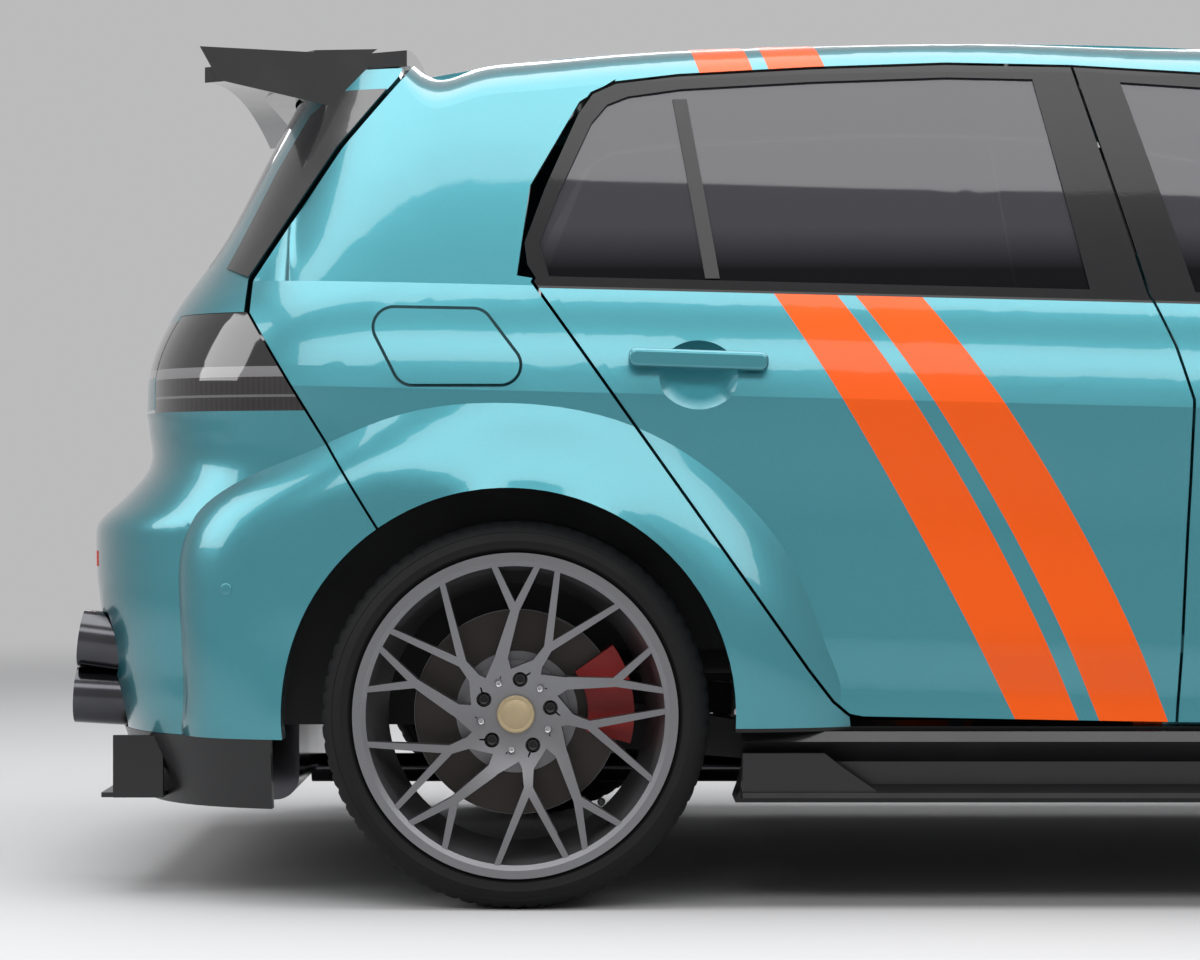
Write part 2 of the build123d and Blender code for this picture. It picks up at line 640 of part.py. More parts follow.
def front_wing():
    """Right-hand wing: side, rounded shoulder and the flange beside the bonnet."""
    wires = []
    for d in (2095, 2250, 2450, 2650, 2850, 3020):
        x = REAR_AXLE_X + d
        y_in = BONNET_EDGE(x) + GAP / 2
        y_out = half_width(x, CREASE_H)
        z_top = bonnet_z(x, y_out - 30)
        z_crease = height(x, CREASE_H)
        low = [(x, -half_width(x, h), height(x, h)) for h in SIDE_BANDS[0]]
        z_turn = z_crease + 0.55 * (z_top - z_crease)
        high = [(x, -half_width(x, side_height(x, z)), z) for z in spread(z_crease, z_turn, 3)]
        tip = (x, high[-1][1] + 10, z_top + 2)
        end = (x, -y_in, bonnet_z(x, y_in))
        lower, upper, over = Spline(low), Spline(high), Bezier(high[-1], tip, end)
        inner_low = Spline([(a, b + SKIN, c) for a, b, c in low])
        inner_high = Spline([(a, b + SKIN, c) for a, b, c in high])
        under = Bezier((x, high[-1][1] + SKIN, high[-1][2]), (x, tip[1] + SKIN, tip[2] - SKIN), (x, end[1], end[2] - SKIN))
        wires.append(Wire([lower, upper, over, Line(over @ 1, under @ 1), under, inner_high, inner_low,
                           Line(inner_low @ 0, lower @ 0)]))
    wing = Solid.make_loft(wires) + front_flare()
    ahead = prism_y([(x - GAP, z) for x, z in WING_GAP] + [(2600, HIGH), (2600, LOW), (WING_GAP[0][0] - GAP, LOW)], -1100, -300)
    behind = prism_y([(x + GAP, z) for x, z in FRONT_DOOR_FRONT] + at_rear((2050 + GAP, HIGH), (1900, HIGH), (1900, LOW), (2050, LOW)), -1100, -300)
    base = prism_y([(0, LOW), (2600, LOW), (2600, SILL_Z), (0, SILL_Z)])
    return wing - ahead - behind - base - arch(FRONT_AXLE_X) - headlamp_zone()


# ---------------------------------------------------------------- front end
UPPER_GRILLE = [(-415, 655), (415, 655), (405, 700), (-405, 700)]
LOWER_GRILLE = [(-560, 262), (560, 262), (520, 455), (-520, 455)]


def lamp_outline():
    """Headlamp in side view."""
    return [(WING_GAP[2][0] - 105, 742), (WING_GAP[2][0] + 30, 752), (2200, 728), (2200, 640), (2060, 640), (WING_GAP[2][0] - 40, 690)]


def front_shell():
    return end_shell(False, spread(200, 775, 14), 34)


def front_bumper(shell, flare_solid):
    """Bumper skin with its nose panel, lamp openings and grille openings."""
    body = shell - prism_x(UPPER_GRILLE, 1900, 2300) - prism_x(LOWER_GRILLE, 1900, 2300)
    for side in (1, -1):
        body -= prism_x([(side * 610, 290), (side * 720, 300), (side * 740, 470), (side * 640, 430)], 1700, 2300)
    flares = flare_solid + mirror_y(flare_solid)
    body = body + flares
    ahead = prism_y([(x, z) for x, z in WING_GAP] + [(2600, 770), (2600, LOW), (WING_GAP[0][0], LOW)], -1100, 1100)
    body &= ahead
    for y0, y1 in ((-1100, -600), (600, 1100)):
        body -= arch(FRONT_AXLE_X, ARCH_R, y0, y1)
    room = arch(FRONT_AXLE_X, ARCH_R + LINER_GAP + LINER_T + SEAM, -LINER_Y - SEAM, -480)
    body = body - room - mirror_y(room)
    body -= headlamp_zone()
    body -= prism_y(NOSE_ROOM, -1100, 1100)
    body -= block(1000, 2300, -1100, 1100, 0, 225)
    return body


def headlamp_zone(clear=1.0):
    zone = prism_y(inset_outline(lamp_outline(), clear), -1100, -HEADLAMP_Y + clear)
    return zone + mirror_y(zone)


def headlamps(shell):
    return shell & headlamp_zone(0)


def grilles():
    """Slatted grilles that fill the two openings of the bumper, each inside its own frame."""
    pieces = []
    for opening, x_out, count in ((UPPER_GRILLE, 2098, 3), (LOWER_GRILLE, 2072, 8)):
        outline, hole = shrink(opening, SEAM), shrink(opening, 12)
        frame = prism_x(outline, x_out - 40, x_out - 26) - prism_x(hole, x_out - 50, x_out)
        z0, z1, half = outline[0][1], outline[-1][1], outline[-2][0]
        step = (z1 - z0) / (count + 1)
        for i in range(1, count + 1):
            frame += block(x_out - 40, x_out - 28, 8 - half, half - 8, z0 + i * step - 3, z0 + i * step + 3)
        for y in spread(-half * 0.75, half * 0.75, 7):
            frame += block(x_out - 38, x_out - 30, y - 3, y + 3, z0 + 3, z1 - 3)
        pieces.append(frame)
    return pieces


def shrink(outline, amount):
    """Front-view outline (y, z) moved inwards by amount."""
    return inset_outline(outline, -amount)


# ---------------------------------------------------------------- rear end
SPOILER_Y, FIN_Y, FIN_T = 585.0, 560.0, 10.0
SPOILER_PLATE = at_rear((-535, 1406), (-270, 1392), (-250, 1374), (-316, 1306), (-504, 1350))
FIN = at_rear((-220, 1330), (-275, 1262), (-301, 1230), (-352, 1150), (-414, 1053), (-440, 1012), (-482, 1030),
              (-408, 1190), (-352, 1292), (-300, 1330))


def rear_shell():
    return end_shell(True, spread(BUMPER_TOP_Z, 1366, 14), TAILGATE_T)


def rear_window_zone(clear=0.0):
    """Rear window opening, seen from behind."""
    return prism_x([(-560 - clear, 1040 - clear), (560 + clear, 1040 - clear), (520 + clear, 1330 + clear),
                    (-520 - clear, 1330 + clear)], -2100, -1600)


def lamp_zone(y0, y1, clear=0.0):
    """Space of the right-hand tail lamp between two distances from the middle."""
    outline = at_rear((-437 - clear, LAMP_TOP_Z - clear), (-338 - clear, BUMPER_TOP_Z + clear),
                      (-800, BUMPER_TOP_Z + clear), (-800, LAMP_TOP_Z - clear))
    return prism_y(outline, -y1, -y0)


def tailgate(shell):
    """Tailgate: wrapped shell with its window opening, number-plate recess and top edge to the roof."""
    outline = [(x - GAP, z) for x, z in TAIL_GAP] + at_rear((-437 - GAP, BUMPER_TOP_Z + GAP), (-900, BUMPER_TOP_Z + GAP),
                                                            (-900, 1600))
    lid = shell & prism_y(outline, -1100, 1100)
    roof_end = top_sheet(roof_z, spread(-1830, -1500, 8), spread(-620, 620, 9), TAILGATE_T * 0.6)
    roof_end &= prism_z([(tail_x(y), y) for y in spread(540, -540, 9)] + [(-1762, -500), (-1762, 500)], 1200, 1600)
    lid = lid + roof_end
    lid -= rear_window_zone()
    for side in (1, -1):
        zone = prism_y(at_rear((-300, LAMP_TOP_Z + 1), (-300, BUMPER_TOP_Z), (-900, BUMPER_TOP_Z), (-900, LAMP_TOP_Z + 1)),
                       LAMP_SPLIT_Y - GAP if side == 1 else -1100, 1100 if side == 1 else GAP - LAMP_SPLIT_Y)
        lid -= zone
        inner = prism_y(at_rear((-300, 945), (-300, 850), (-900, 850), (-900, 945)),
                        440 if side == 1 else -LAMP_SPLIT_Y, LAMP_SPLIT_Y if side == 1 else -440)
        lid -= inner
    bed = prism_y(inset_outline(FIN, REST), -1100, REST - FIN_Y)
    bed &= end_shell(True, spread(985, 1355, 9), FIN_T + REST, -30)
    plate = prism_y(inset_outline(SPOILER_PLATE, REST), -1100, REST - SPOILER_Y)
    return lid - bed - mirror_y(bed) - plate - mirror_y(plate)


def tailgate_lamps(shell):
    zone = prism_y(at_rear((-300, 945), (-300, 850), (-900, 850), (-900, 945)), -(LAMP_SPLIT_Y - GAP), -440)
    lamp = shell & zone
    return lamp + mirror_y(lamp)


def tail_lamps(shell):
    lamp = shell & lamp_zone(LAMP_SPLIT_Y, 1100)
    return lamp + mirror_y(lamp)


def rear_window():
    shell = end_shell(True, spread(1000, 1360, 9), 6)
    return shell & rear_window_zone(-0.3)


def rear_spoiler():
    """Roof spoiler: a wing that carries on the roof's line, with an end plate at each side."""
    half = SPOILER_Y + 6
    crown = top_sheet(lambda x, y: spoiler_top(x) - 22 * (y / 475) ** 2, spread(-1925, -1560, 8),
                      spread(-620, 620, 9), 26)
    body = crown & block(-1912, -1574, -half, half, 1200, 1600)
    under = end_shell(True, spread(1300, 1420, 7), -6, -60)
    body += under & prism_y(at_rear((-230, 1402), (-478, 1398), (-440, 1333), (-300, 1331)), -half, half)
    for side in (1, -1):
        y = side * SPOILER_Y
        body += prism_y(SPOILER_PLATE, min(y, y + side * 12), max(y, y + side * 12))
    return body


def spoiler_top(x):
    """Height of the spoiler's upper face on the car's middle plane."""
    return 1434 + 0.085 * (x + 1574)


def rear_fins():
    """Gloss fins that close the corners between the rear window and the spoiler's plates."""
    fin = end_shell(True, spread(985, 1355, 9), FIN_T, -3) & prism_y(FIN, -1100, -FIN_Y)
    fin -= prism_y(inset_outline(SPOILER_PLATE, REST), -1100, REST - SPOILER_Y)
    return fin + mirror_y(fin)


def rear_wiper():
    """Rear wiper: pivot at the foot of the window and one arm across it."""
    start, tip = (REAR_AXLE_X - 578, 0, 1023), (REAR_AXLE_X - 545, 400, 1070)
    pivot = rod((REAR_AXLE_X - 569, 0, 1016.5), (REAR_AXLE_X - 582, 0, 1026), 14)
    return pivot + rod(start, tip, 6)


def rear_bumper(flare_solid):
    """Bumper skin with its ledge, flare ends and lower openings."""
    body = end_shell(True, spread(240, BUMPER_TOP_Z, 19), SKIN + 6)
    body = body + flare_solid + mirror_y(flare_solid)
    outline = [(x - 0.01, z) for x, z in BUMPER_GAP] + at_rear((-206, LOW), (-900, LOW), (-900, BUMPER_TOP_Z))
    body &= prism_y(outline, -1100, 1100)
    body -= block(-2300, -1300, -1100, 1100, 0, 268)
    for y0, y1 in ((-1100, -600), (600, 1100)):
        body -= arch(REAR_AXLE_X, ARCH_R, y0, y1)
    for tip in exhaust_tips():
        body -= rod(*tip, TIP_R + 8)
    return body


def rear_diffuser():
    """Dark lower bumper insert: valance, blades and diffuser fins between the exhausts."""
    outer = end_shell(True, spread(150, 268, 5), 30)
    valance = outer & block(-2300, REAR_AXLE_X - 395, -1100, 1100, 150, 268 - SEAM)
    fins = [block(-2085, -1970, y - 4, y + 4, 160, 262) for y in (-225, -75, 75, 225)]
    shelf = block(-2070, -1968, -700, 700, 160, 168)
    for fin in fins:
        shelf += fin
    for side in (1, -1):
        shelf += block(-2050, -1968, side * 700 - 6, side * 700 + 6, 160, 262)
    return valance + shelf


TIP_Y, TIP_R = 560.0, 48.0


def exhaust_tips():
    """Axis ends of the four tips; the upper one of each pair points up a little."""
    tips = []
    for side in (1, -1):
        tips.append(((-1990, side * (TIP_Y + 20), 400), (REAR_AXLE_X - 734, side * (TIP_Y + 20), 417)))
        tips.append(((-1990, side * TIP_Y, 314), (REAR_AXLE_X - 745, side * TIP_Y, 322)))
    return tips


def exhaust():
    """Silencer, two pipes and the four tips, stacked in pairs."""
    box = fillet(block(-1960, -1760, -520, 520, 140, 320).edges().filter_by(Axis.Y), 40)
    tips = exhaust_tips()
    for tip in tips:
        box += rod(*tip, TIP_R)
    for side in (1, -1):
        box += block(-2000, -1950, side * TIP_Y - 50, side * TIP_Y + 50, 270, 440)
        box += block(-1990, -1860, min(side * 400, side * 600), max(side * 400, side * 600), 250, 325)
    for start, end in tips:
        box -= rod((start[0] - 60, start[1], start[2] + 4), end, TIP_R - 5)
    return box + rod((-1780, 0, 153), (-200, 0, 153), 26)


def side_skirt():
    """Dark right-hand skirt under the doors with its bottom blade."""
    x0, x1 = REAR_AXLE_X + 360, FRONT_AXLE_X - 385
    inner = -SILL_Y - 0.3
    profile = [(inner, 281.5), (-890, 281.5), (-902, 266), (-868, 232), (-866, 196), (-915, 186), (-917, 178), (inner, 172)]
    return prism_x(profile, x0, x1) + winglet(x0)


def winglet(x):
    """Small upright plate at the rear end of the skirt's blade."""
    return prism_y([(x, 186), (x, 248), (x + 130, 248), (x + 158, 226), (x + 224, 180)], -908, -900) + block(
        x, x + 130, -908, -866, 242, 248)


# ---------------------------------------------------------------- running gear
def ring_profile(points):
    """Revolves an outline of (radius, y) about the wheel's own axis."""
    return revolve(make_face(Polyline([(r, y, 0) for r, y in points], close=True)), Axis.Y, 360)


def tyre():
    """Tyre about the Y axis."""
    half = TYRE_W / 2
    bead = half - 18.5
    wall = [(BEAD_R, bead), (RIM_R + 1, bead), (RIM_R + 6, half - 12), (RIM_R + 22, half), (TYRE_R, half - 26)]
    return ring_profile(wall + [(r, -y) for r, y in reversed(wall)])


# One fifth of the spoke pattern: (degrees, radius) of the joints, and the bars that join them.
FORK_OUT, FORK_IN = (90.4, 165), (103, 97)
SIDE_FORK, SIDE_ROOT = (64, 117), (66.5, 90)
BARS = [
    ((98.5, 246), FORK_OUT, 9, 13), ((81, 246), FORK_OUT, 9, 13),
    ((74, 246), SIDE_FORK, 9, 13), ((46.5, 246), SIDE_FORK, 9, 13),
    (FORK_OUT, FORK_IN, 14, 20), (FORK_IN, (135.7, 60), 18, 22), (FORK_IN, (103.7, 42), 16, 20),
    (SIDE_FORK, SIDE_ROOT, 14, 18), (SIDE_ROOT, (57.8, 50), 14, 20), (SIDE_ROOT, (97, 62), 14, 20),
]


def polar(degrees, r):
    return r * math.cos(math.radians(degrees)), r * math.sin(math.radians(degrees))


def bar_plan(a, b, wa, wb):
    """Tapered bar between two (degrees, radius) points, flat in the XY plane."""
    (xa, ya), (xb, yb) = polar(*a), polar(*b)
    length = math.hypot(xb - xa, yb - ya)
    nx, ny = (ya - yb) / length / 2, (xb - xa) / length / 2
    quad = [(xa + nx * wa, ya + ny * wa), (xb + nx * wb, yb + ny * wb), (xb - nx * wb, yb - ny * wb),
            (xa - nx * wa, ya - ny * wa)]
    return make_face(Polyline(quad, close=True)) + Pos(xb, yb) * Circle(wb / 2) + Pos(xa, ya) * Circle(wa / 2)


def wheel_rim():
    """Five-fold forked-spoke rim with its barrel, hub and brake disc; outer side towards -Y."""
    half = TYRE_W / 2 - 8
    lip = ring_profile([(RIM_R, -half - 3), (RIM_R, -half + 9), (BEAD_R - 0.5, -half + 9), (BEAD_R - 0.5, half - 9),
                        (RIM_R - 2, half - 9), (RIM_R - 2, half), (BEAD_R - 9, half), (BEAD_R - 12, 40),
                        (BEAD_R - 30, 10), (BEAD_R - 34, 4), (BEAD_R - 12, -half + 26), (BEAD_R - 4, -half + 2),
                        (BEAD_R + 4, -half - 3)])
    plan = Circle(62)
    for k in range(5):
        for bar in BARS:
            plan += Rot(0, 0, 72 * k) * bar_plan(*bar)
    spokes = Rot(90, 0, 0) * extrude(Sketch() + plan, amount=300, both=True)
    dish = [(0, -half + 38), (60, -half + 36), (110, -half + 22), (180, -half + 8), (240, -half + 1),
            (240, -half + 24), (180, -half + 40), (110, -half + 62), (62, -half + 82), (0, -half + 82)]
    front = Spline([(r, y, 0) for r, y in dish[:5]])
    back = Spline([(r, y, 0) for r, y in dish[5:]])
    bowl = revolve(make_face(Wire([front, Line(front @ 1, back @ 0), back, Line(back @ 1, front @ 0)])), Axis.Y, 360)
    wheel = (spokes & bowl) + lip
    for k in range(5):
        x, z = polar(83 + 72 * k, LUG_CIRCLE_R)
        wheel -= cylinder_y(x, z, 12, -half + 20, -half + 70)
    hub = cylinder_y(0, 0, 74, -half + 80, HUB_IN)
    disc = cylinder_y(0, 0, DISC_R, -6, DISC_T - 6) - cylinder_y(0, 0, 70, -50, 60)
    hat = cylinder_y(0, 0, 84, -half + 80, DISC_T - 6)
    return wheel + hub + disc + hat


def caliper(axle_x, forward, r=DISC_R):
    """Right-hand brake caliper that bridges the disc, on a short bracket."""
    a0, a1 = (-15, 35) if forward else (145, 195)
    ring = (Circle(r + 24) - Circle(r - 50)) & make_face(
        Polyline([(0, 0), *[polar(a, 320) for a in (a0, (a0 + a1) / 2, a1)]], close=True))
    body = Rot(90, 0, 0) * extrude(Sketch() + ring, amount=36, both=True)
    slot = cylinder_y(0, 0, r + 5, -12, DISC_T)
    piece = body - slot
    return Pos(axle_x, -WHEEL_Y, TYRE_R) * piece


def knuckle():
    """Right-hand front knuckle with its hub carrier, arms and caliper."""
    x, z, inner = FRONT_AXLE_X, TYRE_R, -(WHEEL_Y - 160)
    carrier = cylinder_y(x, z, 58, -(WHEEL_Y - HUB_IN - REST), inner - 20)
    upright = block(x - 24, x + 24, inner - 23, inner, z - 120, z + 190)
    foot = block(x - 30, x + 30, -(WHEEL_Y - 80), inner, z - 130, z - 100)
    bracket = block(x - 175, x + 24, inner - 30, inner, z - 30, z + 30)
    bracket += block(x - 175, x - 118, -(WHEEL_Y - CALIPER_IN), inner, z - 30, z + 30)
    return carrier + upright + foot + bracket + caliper(x, False)


def rear_axle():
    """Twist-beam rear axle with its trailing arms, stub hubs and calipers."""
    x, z = REAR_AXLE_X, TYRE_R
    front = SEAT_STEP_X - REST
    right = prism_y([(x - 60, 250), (front, 215), (front, 275), (x - 60, 350)], -600, -540)
    right += cylinder_y(x, z, 50, -(WHEEL_Y - HUB_IN - REST), -560)
    right += Pos(x + 120, -568, 290) * Cylinder(45, 120)
    right += block(x + 118, x + 175, -(WHEEL_Y - CALIPER_IN), -560, z - 10, z + 30)
    right += caliper(x, True)
    return rod((x + 150, -560, z - 20), (x + 150, 560, z - 20), 42) + right + mirror_y(right)


def liner(axle_x, inner_y):
    """Right-hand wheel-arch liner: a drum wall and its inner closing wall, open at the bottom."""
    outer_y = LINER_Y
    r = ARCH_R + LINER_GAP
    drum = cylinder_y(axle_x - ARCH_BACK, TYRE_R, r + LINER_T, -outer_y, -inner_y)
    drum -= cylinder_y(axle_x - ARCH_BACK, TYRE_R, r, -outer_y - 10, -inner_y - LINER_T)
    return drum - block(axle_x - 600, axle_x + 600, -1000, 0, -200, 275)


def arch_liners():
    rear, front = liner(REAR_AXLE_X, 625), liner(FRONT_AXLE_X, 505)
    hole = cylinder_y(REAR_AXLE_X, TYRE_R, 130, -700, -600) + block(REAR_AXLE_X - 20, REAR_AXLE_X + 500, -700, -600, 0, 400)
    port = cylinder_y(FRONT_AXLE_X, TYRE_R - 40, 130, -560, -460)
    half = (rear - hole) + (front - port)
    return half + mirror_y(half)


SEAT_STEP_X = REAR_AXLE_X + 395
BOOT_X = REAR_AXLE_X - 15
SEAT_BASE_Z = 356.0
BOOT_Z = 470.0
BULKHEAD_X = FRONT_AXLE_X - 420


def floor_pan():
    """Floor with its tunnel, bulkhead, rear seat step, boot floor, rails and the panel behind the rear bumper."""
    whole = block(SEAT_STEP_X, BULKHEAD_X, REST - 700, 700 - REST, FLOOR_Z - 20, FLOOR_Z)
    whole += block(SEAT_STEP_X, SEAT_STEP_X + 20, -610, 610, FLOOR_Z, SEAT_BASE_Z)
    whole += block(BOOT_X - 20, SEAT_STEP_X + 20, -500, 500, SEAT_BASE_Z - 16, SEAT_BASE_Z)
    whole += block(BOOT_X - 20, BOOT_X, -500, 500, SEAT_BASE_Z, BOOT_Z)
    whole += block(-1995, BOOT_X, -590, 590, BOOT_Z - 20, BOOT_Z)
    whole += block(-1995, -1960, -465, 465, BOOT_Z - 20, 780)
    whole += block(SEAT_STEP_X + 20, BULKHEAD_X - 20, -110, 110, FLOOR_Z, FLOOR_Z + 120)
    whole += block(BULKHEAD_X - 20, BULKHEAD_X, -500, 500, FLOOR_Z - 20, 880)
    for y in (-440, 440):
        whole += block(BULKHEAD_X - 10, FRONT_AXLE_X + 700, y - 35, y + 35, 340, 420)
        whole += block(-2020, -1940, y - 35, y + 35, 400, BOOT_Z - 10)
    whole += block(FRONT_AXLE_X + 690, FRONT_AXLE_X + 725, -520, 520, 340, 420)
    whole += block(FRONT_AXLE_X - 200, FRONT_AXLE_X + 200, -470, 470, 190, 225)
    for side in (1, -1):
        whole += block(FRONT_AXLE_X - 30, FRONT_AXLE_X + 30, side * 455 - 15, side * 455 + 15, 225, 345)
        arm_z = TYRE_R - 130 - REST
        whole += block(FRONT_AXLE_X - 25, FRONT_AXLE_X + 25, side * 570 - 120, side * 570 + 120, 158, arm_z)
        whole += block(FRONT_AXLE_X - 25, FRONT_AXLE_X + 25, side * 460 - 10, side * 460 + 10, 158, 200)
    return whole


def engine():
    return block(FRONT_AXLE_X - 220, FRONT_AXLE_X + 330, -404.7, 404.7, 240, 780)


def radiator():
    x = FRONT_AXLE_X + 725 + SEAM
    return block(x, x + 30, -420, 420, 330, 650)


def dashboard():
    """Dashboard across the cabin with its hood, centre stack and steering column."""
    profile = [(250, 560), (250, 800), (330, 885), (470, 915), (640, 915), (760, 870), (780, 560)]
    body = prism_y(profile, -706, 706)
    hood = prism_y([(260, 880), (300, 940), (420, 940), (470, 905)], 230, 520)
    stack = block(150, 400, -95, 95, FLOOR_Z + 130, 700)
    column = rod((330, 370, 780), (132.5, 370, 856.8), 26)
    return body + hood + stack + column


def steering_wheel():
    """Rim with three spokes and a plain boss, square to the column."""
    tilt = math.degrees(math.atan2(70, 180))
    ring = Torus(180, 15)
    wheel = ring + Cylinder(46, 30)
    for a in (0, 180, 270):
        wheel += Rot(0, 0, a) * Pos(108, 0, 0) * Box(130, 34, 14)
    return Pos(118, 370, 862) * Rot(0, -90 + tilt, 0) * wheel


def seat(x, y, width, base_z, recline=20, head=True):
    """Seat with its cushion, backrest and headrest; x is the front edge of the cushion."""
    cushion = fillet(block(x - 500, x, y - width / 2, y + width / 2, base_z, base_z + 130).edges().filter_by(Axis.Y), 45)
    back = fillet(Box(110, width, 620).edges(), 40)
    back = Pos(x - 500, y, base_z + 70) * Rot(0, -recline, 0) * Pos(0, 0, 310) * back
    piece = cushion + back
    if head:
        rest = fillet(Box(90, 250, 170).edges(), 35)
        piece += Pos(x - 500, y, base_z + 70) * Rot(0, -recline, 0) * Pos(0, 0, 700) * rest
        for dy in (-50, 50):
            piece += Pos(x - 500, y + dy, base_z + 70) * Rot(0, -recline, 0) * Pos(0, 0, 620) * Cylinder(7, 80)
    return piece


def front_seats():
    seats = []
    for y in (-370, 370):
        base = block(-430, -60, y - 190, y + 190, FLOOR_Z + SEAM, 330)
        seats.append(seat(-10, y, 500, 330, 22) + base)
    return seats[0] + seats[1]


def rear_seats():
    bench = seat(-800, 0, 1180, SEAT_BASE_Z + SEAM, 22, head=False)
    for y in (-370, 0, 370):
        bench += Pos(-1300, y, SEAT_BASE_Z + 70) * Rot(0, -22, 0) * Pos(0, 0, 665) * fillet(Box(80, 230, 130).edges(), 30)
    return bench


# ---------------------------------------------------------------- fuel flap
FLAP_CORNERS = at_rear((-246, 957), (-54, 953), (36, 834), (-182, 834))


def flap_prism(grow, y0, y1):
    """Rounded parallelogram of the fuel flap, grown evenly, from y0 to y1."""
    corners = inset_outline(FLAP_CORNERS, grow) if grow else FLAP_CORNERS
    flat = make_face(Polyline([(x, y0, z) for x, z in corners], close=True))
    return extrude(fillet(flat.vertices(), 30 + grow), amount=y1 - y0, dir=(0, 1, 0))


FLAP_FLOOR_Y = 820.0
FLAP_T = SKIN - 2


def fuel_flap(quarter_skin):
    return quarter_skin & flap_prism(0, -1100, -700)


def filler_recess(side):
    """Right-hand body side with the filler's recess, its cap and the block behind the flap's hinge."""
    backed = side + flap_prism(GAP + 6, -FLAP_FLOOR_Y - 16, -FLAP_FLOOR_Y + 12)
    backed -= flap_prism(GAP, -1100, -FLAP_FLOOR_Y)
    backed += cylinder_y(REAR_AXLE_X - 100, 890, 38, -FLAP_FLOOR_Y - 14, -FLAP_FLOOR_Y + 4)
    x0, x1 = REAR_AXLE_X - 32, REAR_AXLE_X - 12
    face = min(half_width(x, side_height(x, z)) for x in (x0, x1) for z in (870, 890)) - FLAP_T - REST
    return backed + block(x0, x1, -face, -FLAP_FLOOR_Y + 4, 870, 890)


def build():
    """Builds every node and writes it."""
    os.makedirs("parts", exist_ok=True)
    r_flare, f_flare = rear_flare(), front_flare()
    side = body_side(r_flare)
    save("body_side_left", mirror_y(side))
    skin = side_slab(SIDE_X[:8], SIDE_BANDS, FLAP_T)
    save("body_side_right", filler_recess(side))
    save("fuel_flap", fuel_flap(skin))
    save("roof_panel", roof_panel())
    save("windscreen", windscreen())
    save("bonnet", bonnet())
    save("cowl_and_wipers", cowl(), *wipers())
    both("front_wing", front_wing())

    nose = front_shell()
    save("front_bumper", front_bumper(nose, f_flare))
    save("headlamps", headlamps(nose))
    save("front_grilles", *grilles())

    tail = rear_shell()
    save("tailgate", tailgate(tail))
    save("tailgate_lamps", tailgate_lamps(tail))
    save("tail_lamps", tail_lamps(tail))
    save("rear_window", rear_window())
    save("rear_spoiler", rear_spoiler())
    save("rear_fins", rear_fins())
    save("rear_wiper", rear_wiper())
    save("rear_bumper", rear_bumper(r_flare))
    save("rear_diffuser", rear_diffuser())
    save("exhaust", exhaust())
    skirt = side_skirt()
    save("side_skirts", skirt, mirror_y(skirt))

    for place, (panel, glass) in (("rear", rear_door()), ("front", front_door())):
        both(f"{place}_door", panel)
        both(f"{place}_door_glass", glass)

    rim, rubber = wheel_rim(), tyre()
    for place, x in (("rear", REAR_AXLE_X), ("front", FRONT_AXLE_X)):
        right = Pos(x, -WHEEL_Y, TYRE_R)
        left = Pos(x, WHEEL_Y, TYRE_R) * Rot(0, 0, 180)
        save(f"{place}_rim_right", right * rim)
        save(f"{place}_rim_left", left * rim)
        save(f"{place}_tyre_right", right * rubber)
        save(f"{place}_tyre_left", left * rubber)
    both("front_knuckle", knuckle())
    save("rear_axle", rear_axle())
    save("arch_liners", arch_liners())
    save("floor_pan", floor_pan())
    save("engine", engine())
    save("radiator", radiator())
    save("dashboard", dashboard())
    save("steering_wheel", steering_wheel())
    save("front_seats", front_seats())
    save("rear_seats", rear_seats())


build()
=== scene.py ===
# %% [markdown]
# # A wide-arched hot hatchback
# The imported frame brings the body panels, wheels and cabin, each as its own piece. This lesson gives them
# their paint, glass, rubber and cloth, adds the fine parts that a panel press or a mould makes, and lights
# them as a studio does. All places are in metres: +X to the front, +Y to the left, +Z up.

# %% Start
import math

import bmesh
import bpy
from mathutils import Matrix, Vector
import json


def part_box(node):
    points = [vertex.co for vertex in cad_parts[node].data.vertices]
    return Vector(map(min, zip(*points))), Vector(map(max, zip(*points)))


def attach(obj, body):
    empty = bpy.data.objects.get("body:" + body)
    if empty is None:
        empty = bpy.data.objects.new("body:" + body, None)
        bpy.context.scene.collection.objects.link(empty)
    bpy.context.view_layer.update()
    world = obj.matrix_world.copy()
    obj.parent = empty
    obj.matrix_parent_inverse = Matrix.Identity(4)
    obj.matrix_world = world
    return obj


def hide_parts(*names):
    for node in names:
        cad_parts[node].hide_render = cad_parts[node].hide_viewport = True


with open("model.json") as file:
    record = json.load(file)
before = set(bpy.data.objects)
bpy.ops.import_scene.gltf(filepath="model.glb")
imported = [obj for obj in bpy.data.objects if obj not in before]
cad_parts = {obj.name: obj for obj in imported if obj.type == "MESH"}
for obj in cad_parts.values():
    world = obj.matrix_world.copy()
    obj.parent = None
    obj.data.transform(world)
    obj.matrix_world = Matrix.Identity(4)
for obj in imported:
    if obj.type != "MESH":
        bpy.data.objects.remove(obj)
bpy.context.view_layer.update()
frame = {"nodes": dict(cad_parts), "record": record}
nodes = frame["nodes"]

# %% [markdown]
# ## Key places
# The wheels give the axles, and the other places are set from the axles; the height and fall of the line under
# the side windows are given as numbers. The body's side is found by asking the panels themselves: a ray shot
# inwards from beside the car meets the skin.

# %% Key places
def centre(node):
    low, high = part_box(node)
    return [(a + b) / 2 for a, b in zip(low, high)]


REAR_X, WHEEL_Y, HUB_Z = centre("rear_tyre_left")
FRONT_X = centre("front_tyre_left")[0]
TYRE_R = (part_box("rear_tyre_left")[1][2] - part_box("rear_tyre_left")[0][2]) / 2
TYRE_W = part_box("rear_tyre_left")[1][1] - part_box("rear_tyre_left")[0][1]
BELT_Z = 0.993
BELT_FALL = 0.025


def belt_z(x):
    """Height of the line under the side windows."""
    return BELT_Z - BELT_FALL * (x - REAR_X - 0.038)


